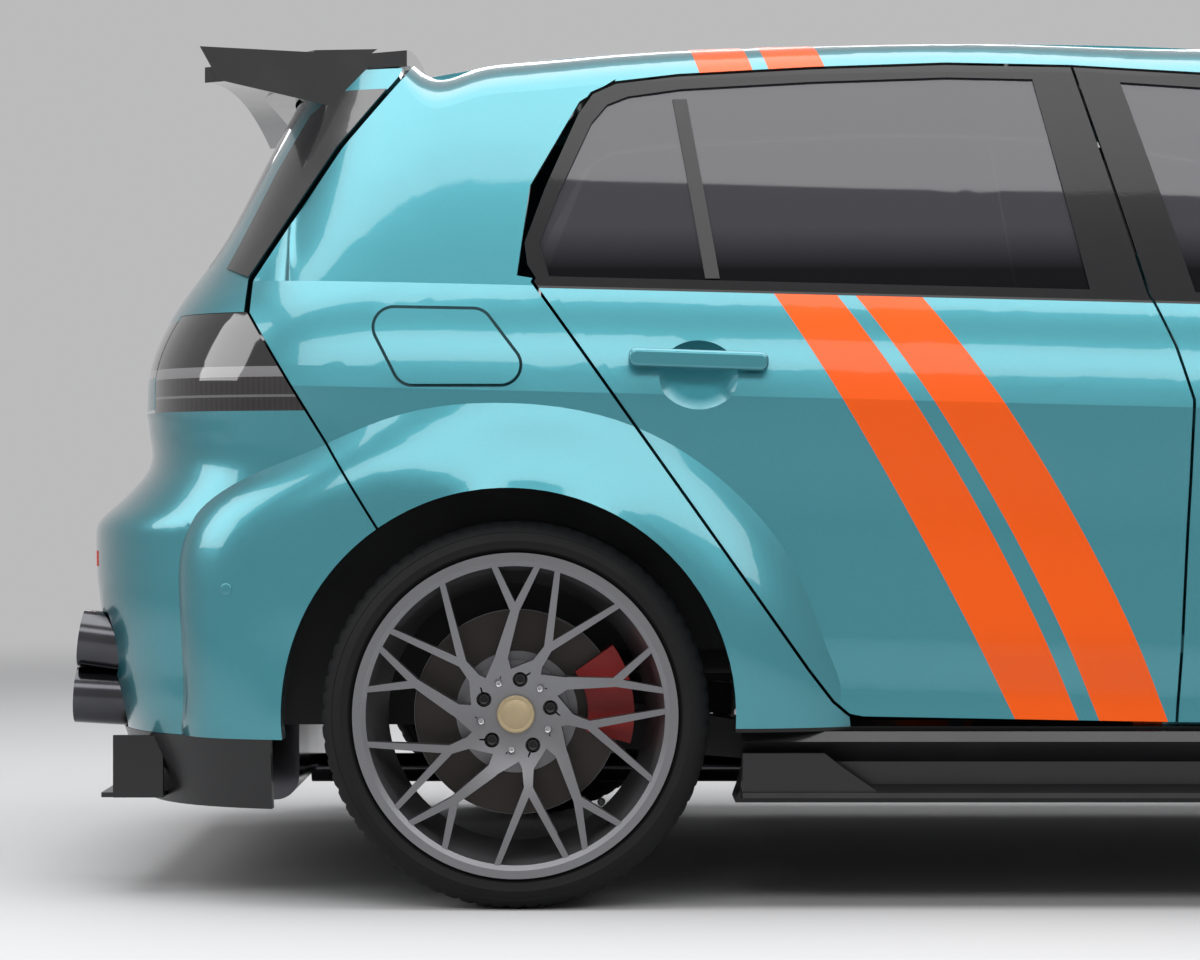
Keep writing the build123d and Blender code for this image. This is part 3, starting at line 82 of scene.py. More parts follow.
def skin_y(node, x, z, side=-1):
    """Where a level ray from beside the car meets a panel, or None."""
    piece = nodes[node]
    hit, place, _, _ = piece.ray_cast(Vector((x, side * 2, z)), Vector((0, -side, 0)))
    return place.y if hit else None


print("rear axle", round(REAR_X, 3), "front axle", round(FRONT_X, 3), "tyre radius", round(TYRE_R, 3))

# %% [markdown]
# ## Shader tools
# Three helpers keep the node trees short: one starts a Principled material, one adds a node and links its
# inputs, one writes a sum of maths. The shared effects are node groups, so that every finish can use them.

# %% Node helpers
def new_material(name, colour, roughness=0.5, metallic=0.0, **inputs):
    material = bpy.data.materials.new(name)
    material.use_nodes = True
    shader = material.node_tree.nodes["Principled BSDF"]
    shader.inputs["Base Color"].default_value = (*colour, 1)
    shader.inputs["Roughness"].default_value = roughness
    shader.inputs["Metallic"].default_value = metallic
    for key, value in inputs.items():
        shader.inputs[key.replace("_", " ")].default_value = value
    return material, shader, material.node_tree


def add_node(tree, kind, links=(), **settings):
    """A shader node; links are (input, output socket or number) pairs."""
    node = tree.nodes.new(kind)
    for key, value in settings.items():
        setattr(node, key, value)
    for name, source in links:
        if isinstance(source, bpy.types.NodeSocket):
            tree.links.new(source, node.inputs[name])
        else:
            node.inputs[name].default_value = source
    return node


def maths(tree, operation, *values):
    """Result socket of a Math node."""
    return add_node(tree, "ShaderNodeMath", list(enumerate(values)), operation=operation).outputs[0]


def object_xyz(tree):
    """Object coordinates, split and whole."""
    place = add_node(tree, "ShaderNodeTexCoord").outputs["Object"]
    split = add_node(tree, "ShaderNodeSeparateXYZ", [("Vector", place)])
    return place, split.outputs["X"], split.outputs["Y"], split.outputs["Z"]


def blend_colour(tree, mask, low, high):
    """Colour that goes from low to high with the mask."""
    mix = add_node(tree, "ShaderNodeMix", data_type="RGBA")
    tree.links.new(mask, mix.inputs["Factor"])
    for socket, value in ((mix.inputs["A"], low), (mix.inputs["B"], high)):
        if isinstance(value, bpy.types.NodeSocket):
            tree.links.new(value, socket)
        else:
            socket.default_value = (*value, 1)
    return mix.outputs["Result"]


def blend_value(tree, mask, low, high):
    mix = add_node(tree, "ShaderNodeMix", data_type="FLOAT")
    tree.links.new(mask, mix.inputs["Factor"])
    for socket, value in ((mix.inputs["A"], low), (mix.inputs["B"], high)):
        if isinstance(value, bpy.types.NodeSocket):
            tree.links.new(value, socket)
        else:
            socket.default_value = value
    return mix.outputs["Result"]


print("shader helpers ready")

# %% Shared effects
def effect_group(name, outputs, inputs):
    """Empty node group with value inputs and the given outputs."""
    group = bpy.data.node_groups.new(name, "ShaderNodeTree")
    for socket, value in inputs.items():
        group.interface.new_socket(socket, in_out="INPUT", socket_type="NodeSocketFloat").default_value = value
    for socket, kind in outputs.items():
        group.interface.new_socket(socket, in_out="OUTPUT", socket_type=kind)
    return group, group.nodes.new("NodeGroupInput"), group.nodes.new("NodeGroupOutput")


def grain_group():
    """Fine moulded or cast grain: a bumped normal, and a value that varies with it."""
    outputs = {"Normal": "NodeSocketVector", "Value": "NodeSocketFloat"}
    group, given, result = effect_group("grain", outputs, {"Scale": 900, "Strength": 0.2, "Height": 0.0004})
    place = add_node(group, "ShaderNodeTexCoord").outputs["Object"]
    fine = add_node(group, "ShaderNodeTexVoronoi", [("Vector", place), ("Scale", given.outputs["Scale"])])
    broad = add_node(group, "ShaderNodeTexNoise", [("Vector", place), ("Scale", 14.0), ("Detail", 5.0)])
    bump = add_node(group, "ShaderNodeBump", [("Strength", given.outputs["Strength"]),
                                              ("Distance", given.outputs["Height"]),
                                              ("Height", fine.outputs["Distance"])])
    group.links.new(bump.outputs["Normal"], result.inputs["Normal"])
    group.links.new(broad.outputs["Fac"], result.inputs["Value"])
    return group


def lathe_group():
    """Lathe marks that run round a wheel's axis: rings of noise in the distance from the axis."""
    outputs = {"Normal": "NodeSocketVector", "Value": "NodeSocketFloat"}
    group, given, result = effect_group("lathe_marks", outputs, {"Axis_X": 0.0, "Strength": 0.15})
    _, x, _, z = object_xyz(group)
    dx = maths(group, "SUBTRACT", x, given.outputs["Axis_X"])
    dz = maths(group, "SUBTRACT", z, HUB_Z)
    square = maths(group, "ADD", maths(group, "MULTIPLY", dx, dx), maths(group, "MULTIPLY", dz, dz))
    radius = maths(group, "SQRT", square)
    ring = add_node(group, "ShaderNodeCombineXYZ", [("X", maths(group, "MULTIPLY", radius, 900.0))])
    noise = add_node(group, "ShaderNodeTexNoise",
                     [("Vector", ring.outputs["Vector"]), ("Scale", 1.0), ("Detail", 2.0)])
    bump = add_node(group, "ShaderNodeBump", [("Strength", given.outputs["Strength"]), ("Distance", 0.0002),
                                              ("Height", noise.outputs["Fac"])])
    group.links.new(bump.outputs["Normal"], result.inputs["Normal"])
    group.links.new(noise.outputs["Fac"], result.inputs["Value"])
    return group


GRAIN, LATHE = grain_group(), lathe_group()


def use_group(tree, group, **values):
    node = add_node(tree, "ShaderNodeGroup", node_tree=group)
    for key, value in values.items():
        node.inputs[key].default_value = value
    return node


def grained(material, base, second, scale, strength, low=0.45, high=0.6):
    """Gives a material moulded grain, with its colour and roughness varied a little."""
    tree, shader = material.node_tree, material.node_tree.nodes["Principled BSDF"]
    grain = use_group(tree, GRAIN, Scale=scale, Strength=strength)
    tree.links.new(grain.outputs["Normal"], shader.inputs["Normal"])
    tree.links.new(blend_colour(tree, grain.outputs["Value"], base, second), shader.inputs["Base Color"])
    tree.links.new(blend_value(tree, grain.outputs["Value"], low, high), shader.inputs["Roughness"])
    return material


print("effect groups:", GRAIN.name, LATHE.name)

# %% [markdown]
# ## Paint
# Car paint is metal flakes in a coloured film under clear lacquer. The film is darker where it is seen
# flat on, the flakes sparkle each at its own angle, and the lacquer has a faint orange-peel ripple. The two
# orange stripes are a film laid over the doors and roof: they lean forward as they come down the side.

# %% Stripe mask
def stripe_edge(tree, z, belt_x, below, bow, above):
    """Distance ahead of the rear axle of a stripe's edge at height z."""
    low = maths(tree, "MAXIMUM", maths(tree, "SUBTRACT", BELT_Z, z), 0.0)
    high = maths(tree, "MINIMUM", maths(tree, "SUBTRACT", BELT_Z, z), 0.0)
    rest = maths(tree, "SUBTRACT", BELT_Z - 0.297, low)
    lean = maths(tree, "ADD", maths(tree, "MULTIPLY", low, below), maths(tree, "MULTIPLY", high, above))
    curve = maths(tree, "MULTIPLY", maths(tree, "MULTIPLY", low, rest), bow)
    return maths(tree, "ADD", maths(tree, "ADD", lean, curve), REAR_X + belt_x)


def stripe_group():
    """1 on the two leaning stripes, 0 beside them."""
    group, _, result = effect_group("leaning_stripes", {"Mask": "NodeSocketFloat"}, {})
    _, x, _, z = object_xyz(group)
    edges = [(0.404, 0.563, 0.13, 0.29), (0.502, 0.566, 0.26, 0.312),
             (0.531, 0.571, 0.28, 0.318), (0.635, 0.578, 0.325, 0.343)]
    past = [maths(group, "GREATER_THAN", x, stripe_edge(group, z, *edge)) for edge in edges]
    first = maths(group, "SUBTRACT", past[0], past[1])
    second = maths(group, "SUBTRACT", past[2], past[3])
    group.links.new(maths(group, "ADD", first, second), result.inputs["Mask"])
    return group


STRIPES = stripe_group()
print("stripe group ready")

# %% Paint material
TEAL_FACE, TEAL_EDGE = (0.050, 0.290, 0.345), (0.016, 0.115, 0.140)
ORANGE_FACE, ORANGE_EDGE = (0.92, 0.105, 0.0), (0.60, 0.055, 0.0)
FRAME_BLACK = (0.004, 0.004, 0.005)
SILL_TOP = 0.288


def paint_material(name, black_above_belt=False, black_sill=False):
    """Flake paint and stripes, with a door's window frame or a side's sill in black."""
    material, shader, tree = new_material(name, TEAL_FACE, 0.3, 0.6, Coat_Weight=1.0, Coat_Roughness=0.02)
    place, x, _, z = object_xyz(tree)
    facing = add_node(tree, "ShaderNodeLayerWeight", [("Blend", 0.45)]).outputs["Facing"]
    teal = blend_colour(tree, facing, TEAL_FACE, TEAL_EDGE)
    flakes = add_node(tree, "ShaderNodeTexVoronoi", [("Vector", place), ("Scale", 1400.0)])
    sparkle = add_node(tree, "ShaderNodeHueSaturation", [("Color", teal)])
    tree.links.new(blend_value(tree, flakes.outputs["Distance"], 1.12, 0.86), sparkle.inputs["Value"])
    mask = use_group(tree, STRIPES).outputs["Mask"]
    coat = blend_value(tree, mask, 1.0, 0.35)
    orange = blend_colour(tree, facing, ORANGE_FACE, ORANGE_EDGE)
    colour = blend_colour(tree, mask, sparkle.outputs["Color"], orange)
    metal = blend_value(tree, mask, 0.6, 0.0)
    black = None
    if black_above_belt:
        past_door = maths(tree, "SUBTRACT", x, REAR_X + 0.038)
        belt = maths(tree, "SUBTRACT", BELT_Z - 0.004, maths(tree, "MULTIPLY", past_door, BELT_FALL))
        black = maths(tree, "GREATER_THAN", z, belt)
    if black_sill:
        black = maths(tree, "LESS_THAN", z, SILL_TOP)
    shine = blend_value(tree, mask, 0.5, 0.2)
    if black:
        colour = blend_colour(tree, black, colour, FRAME_BLACK)
        metal = blend_value(tree, black, metal, 0.0)
        coat = blend_value(tree, black, coat, 0.3)
        shine = blend_value(tree, black, shine, 0.2)
    tree.links.new(coat, shader.inputs["Coat Weight"])
    tree.links.new(shine, shader.inputs["Specular IOR Level"])
    tree.links.new(colour, shader.inputs["Base Color"])
    tree.links.new(metal, shader.inputs["Metallic"])
    peel = add_node(tree, "ShaderNodeTexNoise", [("Vector", place), ("Scale", 260.0)])
    ripple = add_node(tree, "ShaderNodeBump",
                      [("Strength", 0.05), ("Distance", 0.0005), ("Height", peel.outputs["Fac"])])
    flake_bump = add_node(tree, "ShaderNodeBump",
                          [("Strength", 0.12), ("Distance", 0.0003), ("Height", flakes.outputs["Distance"])])
    tree.links.new(ripple.outputs["Normal"], shader.inputs["Coat Normal"])
    tree.links.new(flake_bump.outputs["Normal"], shader.inputs["Normal"])
    return material


paint = paint_material("teal_paint")
door_paint = paint_material("teal_door_paint", black_above_belt=True)
side_paint = paint_material("teal_side_paint", black_sill=True)
print("paints:", paint.name, door_paint.name, side_paint.name)

# %% [markdown]
# ## Plastics, rubber and metals
# Gloss black trim is paint over plastic, with fine dust in it; the lower trims are grained. The rubber is
# dull where it is moulded and a little brighter where the road rubs it. The wheels are cut on a lathe and
# lacquered, so fine rings run round the axle.

# %% Dark finishes
gloss_black = new_material("gloss_black", (0.006, 0.006, 0.007), Coat_Weight=1.0, Coat_Roughness=0.03)[0]
gloss_black = grained(gloss_black, (0.005, 0.005, 0.006), (0.011, 0.011, 0.012), 300, 0.02, 0.16, 0.3)
skirt_black = new_material("skirt_black", (0.004, 0.004, 0.005), Coat_Weight=0.15, Coat_Roughness=0.08)[0]
skirt_black = grained(skirt_black, (0.003, 0.003, 0.004), (0.008, 0.008, 0.009), 300, 0.02, 0.3, 0.45)
black_plastic = grained(new_material("grained_plastic", (0.012, 0.012, 0.013))[0],
                        (0.010, 0.010, 0.011), (0.020, 0.020, 0.021), 1100, 0.35, 0.42, 0.62)
trim = grained(new_material("soft_trim", (0.012, 0.012, 0.013))[0],
               (0.010, 0.010, 0.011), (0.018, 0.018, 0.019), 800, 0.4, 0.6, 0.8)
steel = grained(new_material("undercoated_steel", (0.03, 0.03, 0.03))[0],
                (0.018, 0.018, 0.018), (0.045, 0.043, 0.041), 220, 0.5, 0.5, 0.8)
cloth = grained(new_material("seat_cloth", (0.02, 0.02, 0.022), Sheen_Weight=0.3)[0],
                (0.014, 0.014, 0.016), (0.03, 0.03, 0.033), 600, 0.6, 0.8, 0.95)
tip_steel = grained(new_material("dark_chrome", (0.05, 0.05, 0.055), metallic=1.0)[0],
                    (0.05, 0.05, 0.055), (0.10, 0.10, 0.11), 400, 0.03, 0.12, 0.22)
print("dark finishes ready")


# %% Rubber, alloy, disc and caliper paint
def wheel_material(name, axis_x, base, second, metallic, low, high, strength):
    material, shader, tree = new_material(name, base, metallic=metallic)
    marks = use_group(tree, LATHE, Axis_X=axis_x, Strength=strength)
    broad = use_group(tree, GRAIN, Scale=500, Strength=0.1)
    tree.links.new(marks.outputs["Normal"], shader.inputs["Normal"])
    tree.links.new(blend_colour(tree, marks.outputs["Value"], base, second), shader.inputs["Base Color"])
    tree.links.new(blend_value(tree, broad.outputs["Value"], low, high), shader.inputs["Roughness"])
    if not metallic:
        shader.inputs["Specular IOR Level"].default_value = 0.22
    return material


rubber, alloy, disc_metal = {}, {}, {}
for place, axis_x in (("rear", REAR_X), ("front", FRONT_X)):
    rubber[place] = wheel_material(f"{place}_rubber", axis_x, (0.0055, 0.0055, 0.006), (0.011, 0.011, 0.0115),
                                   0.0, 0.62, 0.85, 0.3)
    alloy[place] = wheel_material(f"{place}_alloy", axis_x, (0.19, 0.19, 0.20), (0.25, 0.25, 0.26),
                                  0.85, 0.3, 0.42, 0.12)
    disc_metal[place] = wheel_material(f"{place}_disc", axis_x, (0.035, 0.031, 0.029), (0.075, 0.068, 0.064),
                                       1.0, 0.35, 0.5, 0.5)


def axle_material():
    """Undercoated steel, with the calipers outboard in red."""
    material, shader, tree = new_material("axle_and_calipers", (0.03, 0.03, 0.03))
    _, _, y, _ = object_xyz(tree)
    outboard = maths(tree, "GREATER_THAN", maths(tree, "ABSOLUTE", y), WHEEL_Y - 0.038)
    grain = use_group(tree, GRAIN, Scale=300, Strength=0.3)
    colour = blend_colour(tree, outboard, (0.025, 0.025, 0.025), (0.30, 0.006, 0.004))
    tree.links.new(colour, shader.inputs["Base Color"])
    tree.links.new(blend_value(tree, grain.outputs["Value"], 0.35, 0.6), shader.inputs["Roughness"])
    tree.links.new(grain.outputs["Normal"], shader.inputs["Normal"])
    return material


axle_paint = axle_material()
print("wheel finishes ready")

# %% [markdown]
# ## Glass and lamps
# The side glass is dark privacy glass: it lets little light through and mirrors the studio. The tail lamps
# are smoked lenses over a light bar; the headlamps are clear.

# %% Glass and lamp finishes
def glass_material(name, colour, tint, roughness=0.02):
    """Dark glass: a clear coat over a thin see-through tint, with painted shade that makes it darker and less
    shiny towards its lower edge.
    """
    material, shader, tree = new_material(name, colour, roughness, 0.0, IOR=1.5, Coat_Weight=0.5)
    _, _, _, z = object_xyz(tree)
    haze = use_group(tree, GRAIN, Scale=40, Strength=0.004)
    # Painted shade: below z 1.02 the glass is painted dark, with little coat and specular; from 1.09 up it has
    # its full colour and shine.
    shade = add_node(tree, "ShaderNodeMapRange", [("Value", z), ("From Min", 1.02), ("From Max", 1.09)])
    tree.links.new(blend_value(tree, shade.outputs["Result"], tint, tint * 0.9), shader.inputs["Alpha"])
    rough = blend_value(tree, haze.outputs["Value"], roughness, roughness * 2)
    tree.links.new(rough, shader.inputs["Roughness"])
    tree.links.new(blend_value(tree, shade.outputs["Result"], 0.0, 0.5), shader.inputs["Coat Weight"])
    tree.links.new(blend_value(tree, shade.outputs["Result"], 0.12, 0.5), shader.inputs["Specular IOR Level"])
    # The painted shade's dark colour: the glass colour at 15 percent.
    low = tuple(c * 0.15 for c in colour)
    tree.links.new(blend_colour(tree, shade.outputs["Result"], low, colour), shader.inputs["Base Color"])
    return material


def lens_material():
    """Smoked lens with a wide light guide, a thin one under it and fine ribs between them."""
    material, shader, tree = new_material("smoked_lens", (0.012, 0.009, 0.010), 0.05, IOR=1.5, Coat_Weight=1.0)
    place, x, _, z = object_xyz(tree)
    ribs = maths(tree, "GREATER_THAN", maths(tree, "SINE", maths(tree, "MULTIPLY", x, 700.0)), 0.2)
    low_ribs = maths(tree, "MULTIPLY", ribs, maths(tree, "LESS_THAN", z, 0.847))
    colour = blend_colour(tree, low_ribs, (0.009, 0.008, 0.009), (0.020, 0.014, 0.015))
    for middle, half, shine in ((0.855, 0.0085, (0.17, 0.165, 0.17)), (0.816, 0.002, (0.12, 0.12, 0.12))):
        off = maths(tree, "ABSOLUTE", maths(tree, "SUBTRACT", z, middle))
        colour = blend_colour(tree, maths(tree, "LESS_THAN", off, half), colour, shine)
    tree.links.new(colour, shader.inputs["Base Color"])
    haze = add_node(tree, "ShaderNodeTexNoise", [("Vector", place), ("Scale", 60.0)])
    tree.links.new(blend_value(tree, haze.outputs["Fac"], 0.03, 0.09), shader.inputs["Roughness"])
    return material


glass = glass_material("privacy_glass", (0.035, 0.034, 0.042), 0.93)
screen_glass = glass_material("screen_glass", (0.05, 0.055, 0.055), 0.35)
lens = lens_material()
clear = glass_material("lamp_glass", (0.25, 0.26, 0.27), 0.3)
print("glass ready")

# %% Finishes of the carried-over pieces
FINISH = {"paint": paint, "gloss_black": gloss_black, "black_plastic": black_plastic, "glass": glass,
          "tail_lens": lens, "head_lens": clear, "steel": tip_steel, "dark_metal": steel, "cloth": cloth,
          "trim": trim}
OWN = {"side_skirts": skirt_black, "rear_diffuser": skirt_black, "body_side_right": side_paint,
       "body_side_left": side_paint, "windscreen": screen_glass, "rear_window": glass, "rear_axle": axle_paint,
       "front_knuckle_right": axle_paint, "front_knuckle_left": axle_paint}


def finish_of(node, slot):
    if node in OWN:
        return OWN[node]
    if "_door_right" in node or "_door_left" in node:
        return door_paint
    if slot in ("alloy", "tyre"):
        return (alloy if slot == "alloy" else rubber)[node.split("_")[0]]
    return FINISH[slot]


for part in frame["record"]["subparts"]:
    for material_slot in nodes[part["node"]].material_slots:
        material_slot.material = finish_of(part["node"], part["material_slot"])
print(len(FINISH), "shared finishes,", len(OWN), "of their own")

# %% [markdown]
# ## Tyres
# A road tyre is a moulded ring: a flat tread cut by grooves that run round it and by slanted sipes, round
# shoulders, and a sidewall with a raised bead that guards the rim. Each is one revolved mesh whose radius
# steps in where a groove or sipe is cut.

# %% Mesh helpers
def add_mesh(name, vertices, faces, material=None, smooth=False):
    mesh = bpy.data.meshes.new(name)
    mesh.from_pydata(vertices, [], faces)
    mesh.update()
    piece = bpy.data.objects.new(name, mesh)
    bpy.context.collection.objects.link(piece)
    if material:
        mesh.materials.append(material)
    if smooth:
        mesh.shade_smooth()
    return piece


def outward(piece):
    """Turns a closed mesh's normals outwards."""
    work = bmesh.new()
    work.from_mesh(piece.data)
    bmesh.ops.recalc_face_normals(work, faces=work.faces)
    work.to_mesh(piece.data)
    work.free()
    return piece


def turned(outline, segments, close=True):
    """Vertices and faces of an outline of (radius, y) turned about the Y axis; radius may be a function."""
    vertices, faces, count = [], [], len(outline)
    for i in range(segments):
        a = 2 * math.pi * i / segments
        for r, y in outline:
            radius = r(i) if callable(r) else r
            vertices.append((radius * math.cos(a), y, radius * math.sin(a)))
    for i in range(segments):
        here, there = i * count, ((i + 1) % segments) * count
        for k in range(count if close else count - 1):
            n = (k + 1) % count
            faces.append((here + k, here + n, there + n, there + k))
    return vertices, faces


def placed(vertices, x, y, z, side=-1):
    """Moves wheel parts, made with their outer side towards -Y, to a wheel on the given side."""
    return [(x + px * (1 if side < 0 else -1), y + py * (-side), z + pz) for px, py, pz in vertices]


def joined(*parts):
    """Joins (vertices, faces) parts into one."""
    vertices, faces = [], []
    for part_vertices, part_faces in parts:
        base = len(vertices)
        vertices += part_vertices
        faces += [tuple(base + i for i in face) for face in part_faces]
    return vertices, faces


print("mesh helpers ready")


# %% Tyre form
SEGMENTS = 288
HALF = TYRE_W / 2
BEAD = TYRE_R - 0.067


def sipe(depth, phase, every=6):
    """Radius that steps in at every few segments."""
    return lambda i: TYRE_R - (depth if (i + phase) % every == 0 else 0.0)


def tyre_outline():
    """Half a section from the tread's middle to the outer bead, then mirrored."""
    grooves = [0.020, 0.0275, 0.058, 0.065]
    crown = [(TYRE_R, 0.0), (TYRE_R, grooves[0])]
    crown += [(TYRE_R - 0.007, grooves[0] + 0.001), (TYRE_R - 0.007, grooves[1] - 0.001)]
    crown += [(sipe(0.004, 1), grooves[1]), (sipe(0.004, 2), 0.042), (sipe(0.004, 3), grooves[2])]
    crown += [(TYRE_R - 0.007, grooves[2] + 0.001), (TYRE_R - 0.007, grooves[3] - 0.001)]
    crown += [(sipe(0.004, 1, 4), grooves[3] + 0.0005), (sipe(0.004, 2, 4), 0.083)]
    shoulder = [(lambda i: TYRE_R - 0.0022 - (0.003 if (i + 2) % 4 == 0 else 0), 0.0925),
                (lambda i: TYRE_R - 0.007 - (0.002 if (i + 2) % 4 == 0 else 0), 0.101)]
    wall = [(TYRE_R - 0.012, 0.1065), (TYRE_R - 0.0165, 0.1105), (TYRE_R - 0.018, 0.1100)]
    wall += [(TYRE_R - 0.024, 0.1145), (TYRE_R - 0.031, HALF - 0.0005), (TYRE_R - 0.035, HALF - 0.002)]
    wall += [(TYRE_R - 0.042, HALF - 0.0035), (TYRE_R - 0.043, HALF - 0.0052), (TYRE_R - 0.046, HALF - 0.0105)]
    wall += [(TYRE_R - 0.050, HALF - 0.0155)]
    return crown[1:] + shoulder + wall + [(BEAD, HALF - 0.0175)]


outer_half = tyre_outline()
section = [(r, -y) for r, y in reversed(outer_half)] + outer_half
tyre_vertices, tyre_faces = turned(section, SEGMENTS)
WHEELS = [(f"{end}_{name}", x, side) for end, x in (("rear", REAR_X), ("front", FRONT_X))
          for name, side in (("right", -1), ("left", 1))]
for name, x, side in WHEELS:
    end, hand = name.split("_")
    vertices = placed(tyre_vertices, x, side * WHEEL_Y, HUB_Z, side)
    tyre = outward(add_mesh(f"tyre_{name}", vertices, tyre_faces, rubber[end]))
    tyre.data.shade_smooth()
    tyre.data.set_sharp_from_angle(angle=math.radians(38))
    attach(tyre, f"{end}_wheel_{hand}")
    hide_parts(f"{end}_tyre_{hand}")
print("tyre faces", len(tyre_faces))

# %% [markdown]
# ## Wheel fixings
# Ten socket-headed bolts sit round the hub: five dark lug bolts down their holes and five bright ones that
# hold the cap's ring. The cap is a shallow dome with a cast, sandy face, and a rubber valve stands at the rim.

# %% Bolts, cap and valve
def moved(part, dx, dy, dz):
    vertices, faces = part
    return [(x + dx, y + dy, z + dz) for x, y, z in vertices], faces


def bolt_head(radius, depth):
    """Hexagon-socket head, its face towards -Y."""
    outline = [(0.0001, 0.0), (radius * 0.5, 0.0), (radius * 0.52, -depth * 0.8), (radius * 0.85, -depth),
               (radius, -depth * 0.8), (radius, depth), (0.0001, depth)]
    return turned(outline, 18, close=False)


FACE_Y = -(TYRE_W / 2 - 0.008) + 0.036
cap_material = grained(new_material("cap_casting", (0.42, 0.33, 0.18), metallic=0.5)[0],
                       (0.30, 0.23, 0.13), (0.52, 0.42, 0.26), 700, 1.0, 0.35, 0.5)
dark_bolt = grained(new_material("black_bolt", (0.02, 0.02, 0.02), metallic=0.7)[0],
                    (0.015, 0.015, 0.015), (0.035, 0.035, 0.035), 900, 0.1, 0.3, 0.45)
bright_bolt = grained(new_material("zinc_bolt", (0.5, 0.5, 0.5), metallic=1.0)[0],
                      (0.42, 0.42, 0.43), (0.55, 0.55, 0.56), 900, 0.1, 0.25, 0.4)
cap_outline = [(0.0001, -0.007), (0.010, -0.0068), (0.020, -0.0055), (0.0235, -0.004), (0.025, -0.0045),
               (0.0285, -0.0045), (0.030, -0.003), (0.030, 0.012), (0.0001, 0.012)]
cap = moved(turned(cap_outline, 64, close=False), 0, FACE_Y, 0)
BOLT_CIRCLE_R = 0.056
VALVE_R, VALVE_ANGLE = 0.196, math.radians(-46)
lugs, ring_bolts = [], []
for k in range(5):
    for bolts, degrees, size, sink in ((lugs, 83, 0.0095, 0.012), (ring_bolts, 119, 0.0055, -0.001)):
        a = math.radians(degrees + 72 * k)
        head = bolt_head(size, 0.006)
        bolts.append(moved(head, BOLT_CIRCLE_R * math.cos(a), FACE_Y + sink, BOLT_CIRCLE_R * math.sin(a)))
valve_outline = [(0.0001, -0.020), (0.0035, -0.020), (0.0035, -0.008), (0.0055, -0.006), (0.0065, 0.010),
                 (0.0001, 0.010)]
valve = turned(valve_outline, 16, False)
valve = moved(valve, VALVE_R * math.cos(VALVE_ANGLE), -0.060, VALVE_R * math.sin(VALVE_ANGLE))
for name, x, side in WHEELS:
    end, hand = name.split("_")
    for piece_name, part, material, slot in (
        ("cap", cap, cap_material, "alloy"),
        ("lug_bolts", joined(*lugs), dark_bolt, "steel"),
        ("ring_bolts", joined(*ring_bolts), bright_bolt, "steel"),
        ("valve", valve, black_plastic, "black_plastic"),
    ):
        vertices = placed(part[0], x, side * WHEEL_Y, HUB_Z, side)
        piece = add_mesh(f"{piece_name}_{name}", vertices, part[1], material, True)
        outward(piece).data.set_sharp_from_angle(angle=math.radians(40))
        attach(piece, f"{end}_wheel_{hand}")
print("fixings on", len(WHEELS), "wheels")

# %% Brake disc faces
disc_outline = [(0.160, -0.0066), (0.1635, -0.0066), (0.1645, -0.0062), (0.1645, 0.018), (0.098, 0.018),
                (0.098, -0.0066)]
for name, x, side in WHEELS:
    end, hand = name.split("_")
    part = turned(disc_outline, 96)
    vertices = placed(part[0], x, side * WHEEL_Y, HUB_Z, side)
    disc = add_mesh(f"disc_{name}", vertices, part[1], disc_metal[end], True)
    outward(disc).data.set_sharp_from_angle(angle=math.radians(30))
    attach(disc, f"{end}_wheel_{hand}")
print("discs faced")

# %% [markdown]
# ## Window bars
# In the rear door a slim upright bar parts the quarter glass from the window that winds down. It is a
# moulding that follows the glass, a few millimetres proud of it, so its two edges are laid on the glass.

# %% Divider bars
def side_strip(node, rows, side, lift, depth):
    """Closed strip over a side panel; rows are (x_back, x_front, z) from bottom to top."""
    vertices, faces = [], []
    for x_back, x_front, z in rows:
        for x in (x_back, x_front):
            y = skin_y(node, x, z, side)
            vertices += [(x, y + side * lift, z), (x, y - side * depth, z)]
    for i in range(len(rows) - 1):
        a, b = i * 4, (i + 1) * 4
        faces += [(a, a + 2, b + 2, b), (a + 1, b + 1, b + 3, a + 3)]
        faces += [(a, b, b + 1, a + 1), (a + 2, a + 3, b + 3, b + 2)]
    last = (len(rows) - 1) * 4
    faces += [(0, 1, 3, 2), (last, last + 2, last + 3, last + 1)]
    return vertices, faces


def bevelled(piece, width, segments=2):
    """Rounds a piece's edges for good, so that they catch the light."""
    bevel = piece.modifiers.new("edges", "BEVEL")
    bevel.width, bevel.segments, bevel.limit_method = width, segments, "ANGLE"
    return baked(piece)


def baked(piece):
    """Applies a piece's modifiers."""
    piece.data = bpy.data.meshes.new_from_object(piece.evaluated_get(bpy.context.evaluated_depsgraph_get()))
    piece.modifiers.clear()
    return piece


for side, hand in ((-1, "right"), (1, "left")):
    rows = []
    for i in range(9):
        share = i / 8
        z = belt_z(REAR_X + 0.3) + 0.018 + share * 0.305
        x = REAR_X + 0.303 - 0.050 * share
        rows.append((x, x + 0.024, z))
    vertices, faces = side_strip(f"rear_door_glass_{hand}", rows, side, 0.003, 0.003)
    bar = bevelled(outward(add_mesh(f"window_bar_{hand}", vertices, faces, black_plastic)), 0.0012)
    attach(bar, f"rear_door_{hand}")
print("window bars ready")

# %% [markdown]
# ## Parking sensors and reflectors
# Each bumper carries round sensor caps, pressed in flush, and the rear one a narrow red reflector near its
# corner. They are laid on the panel with a ray, so that they keep to its curve.

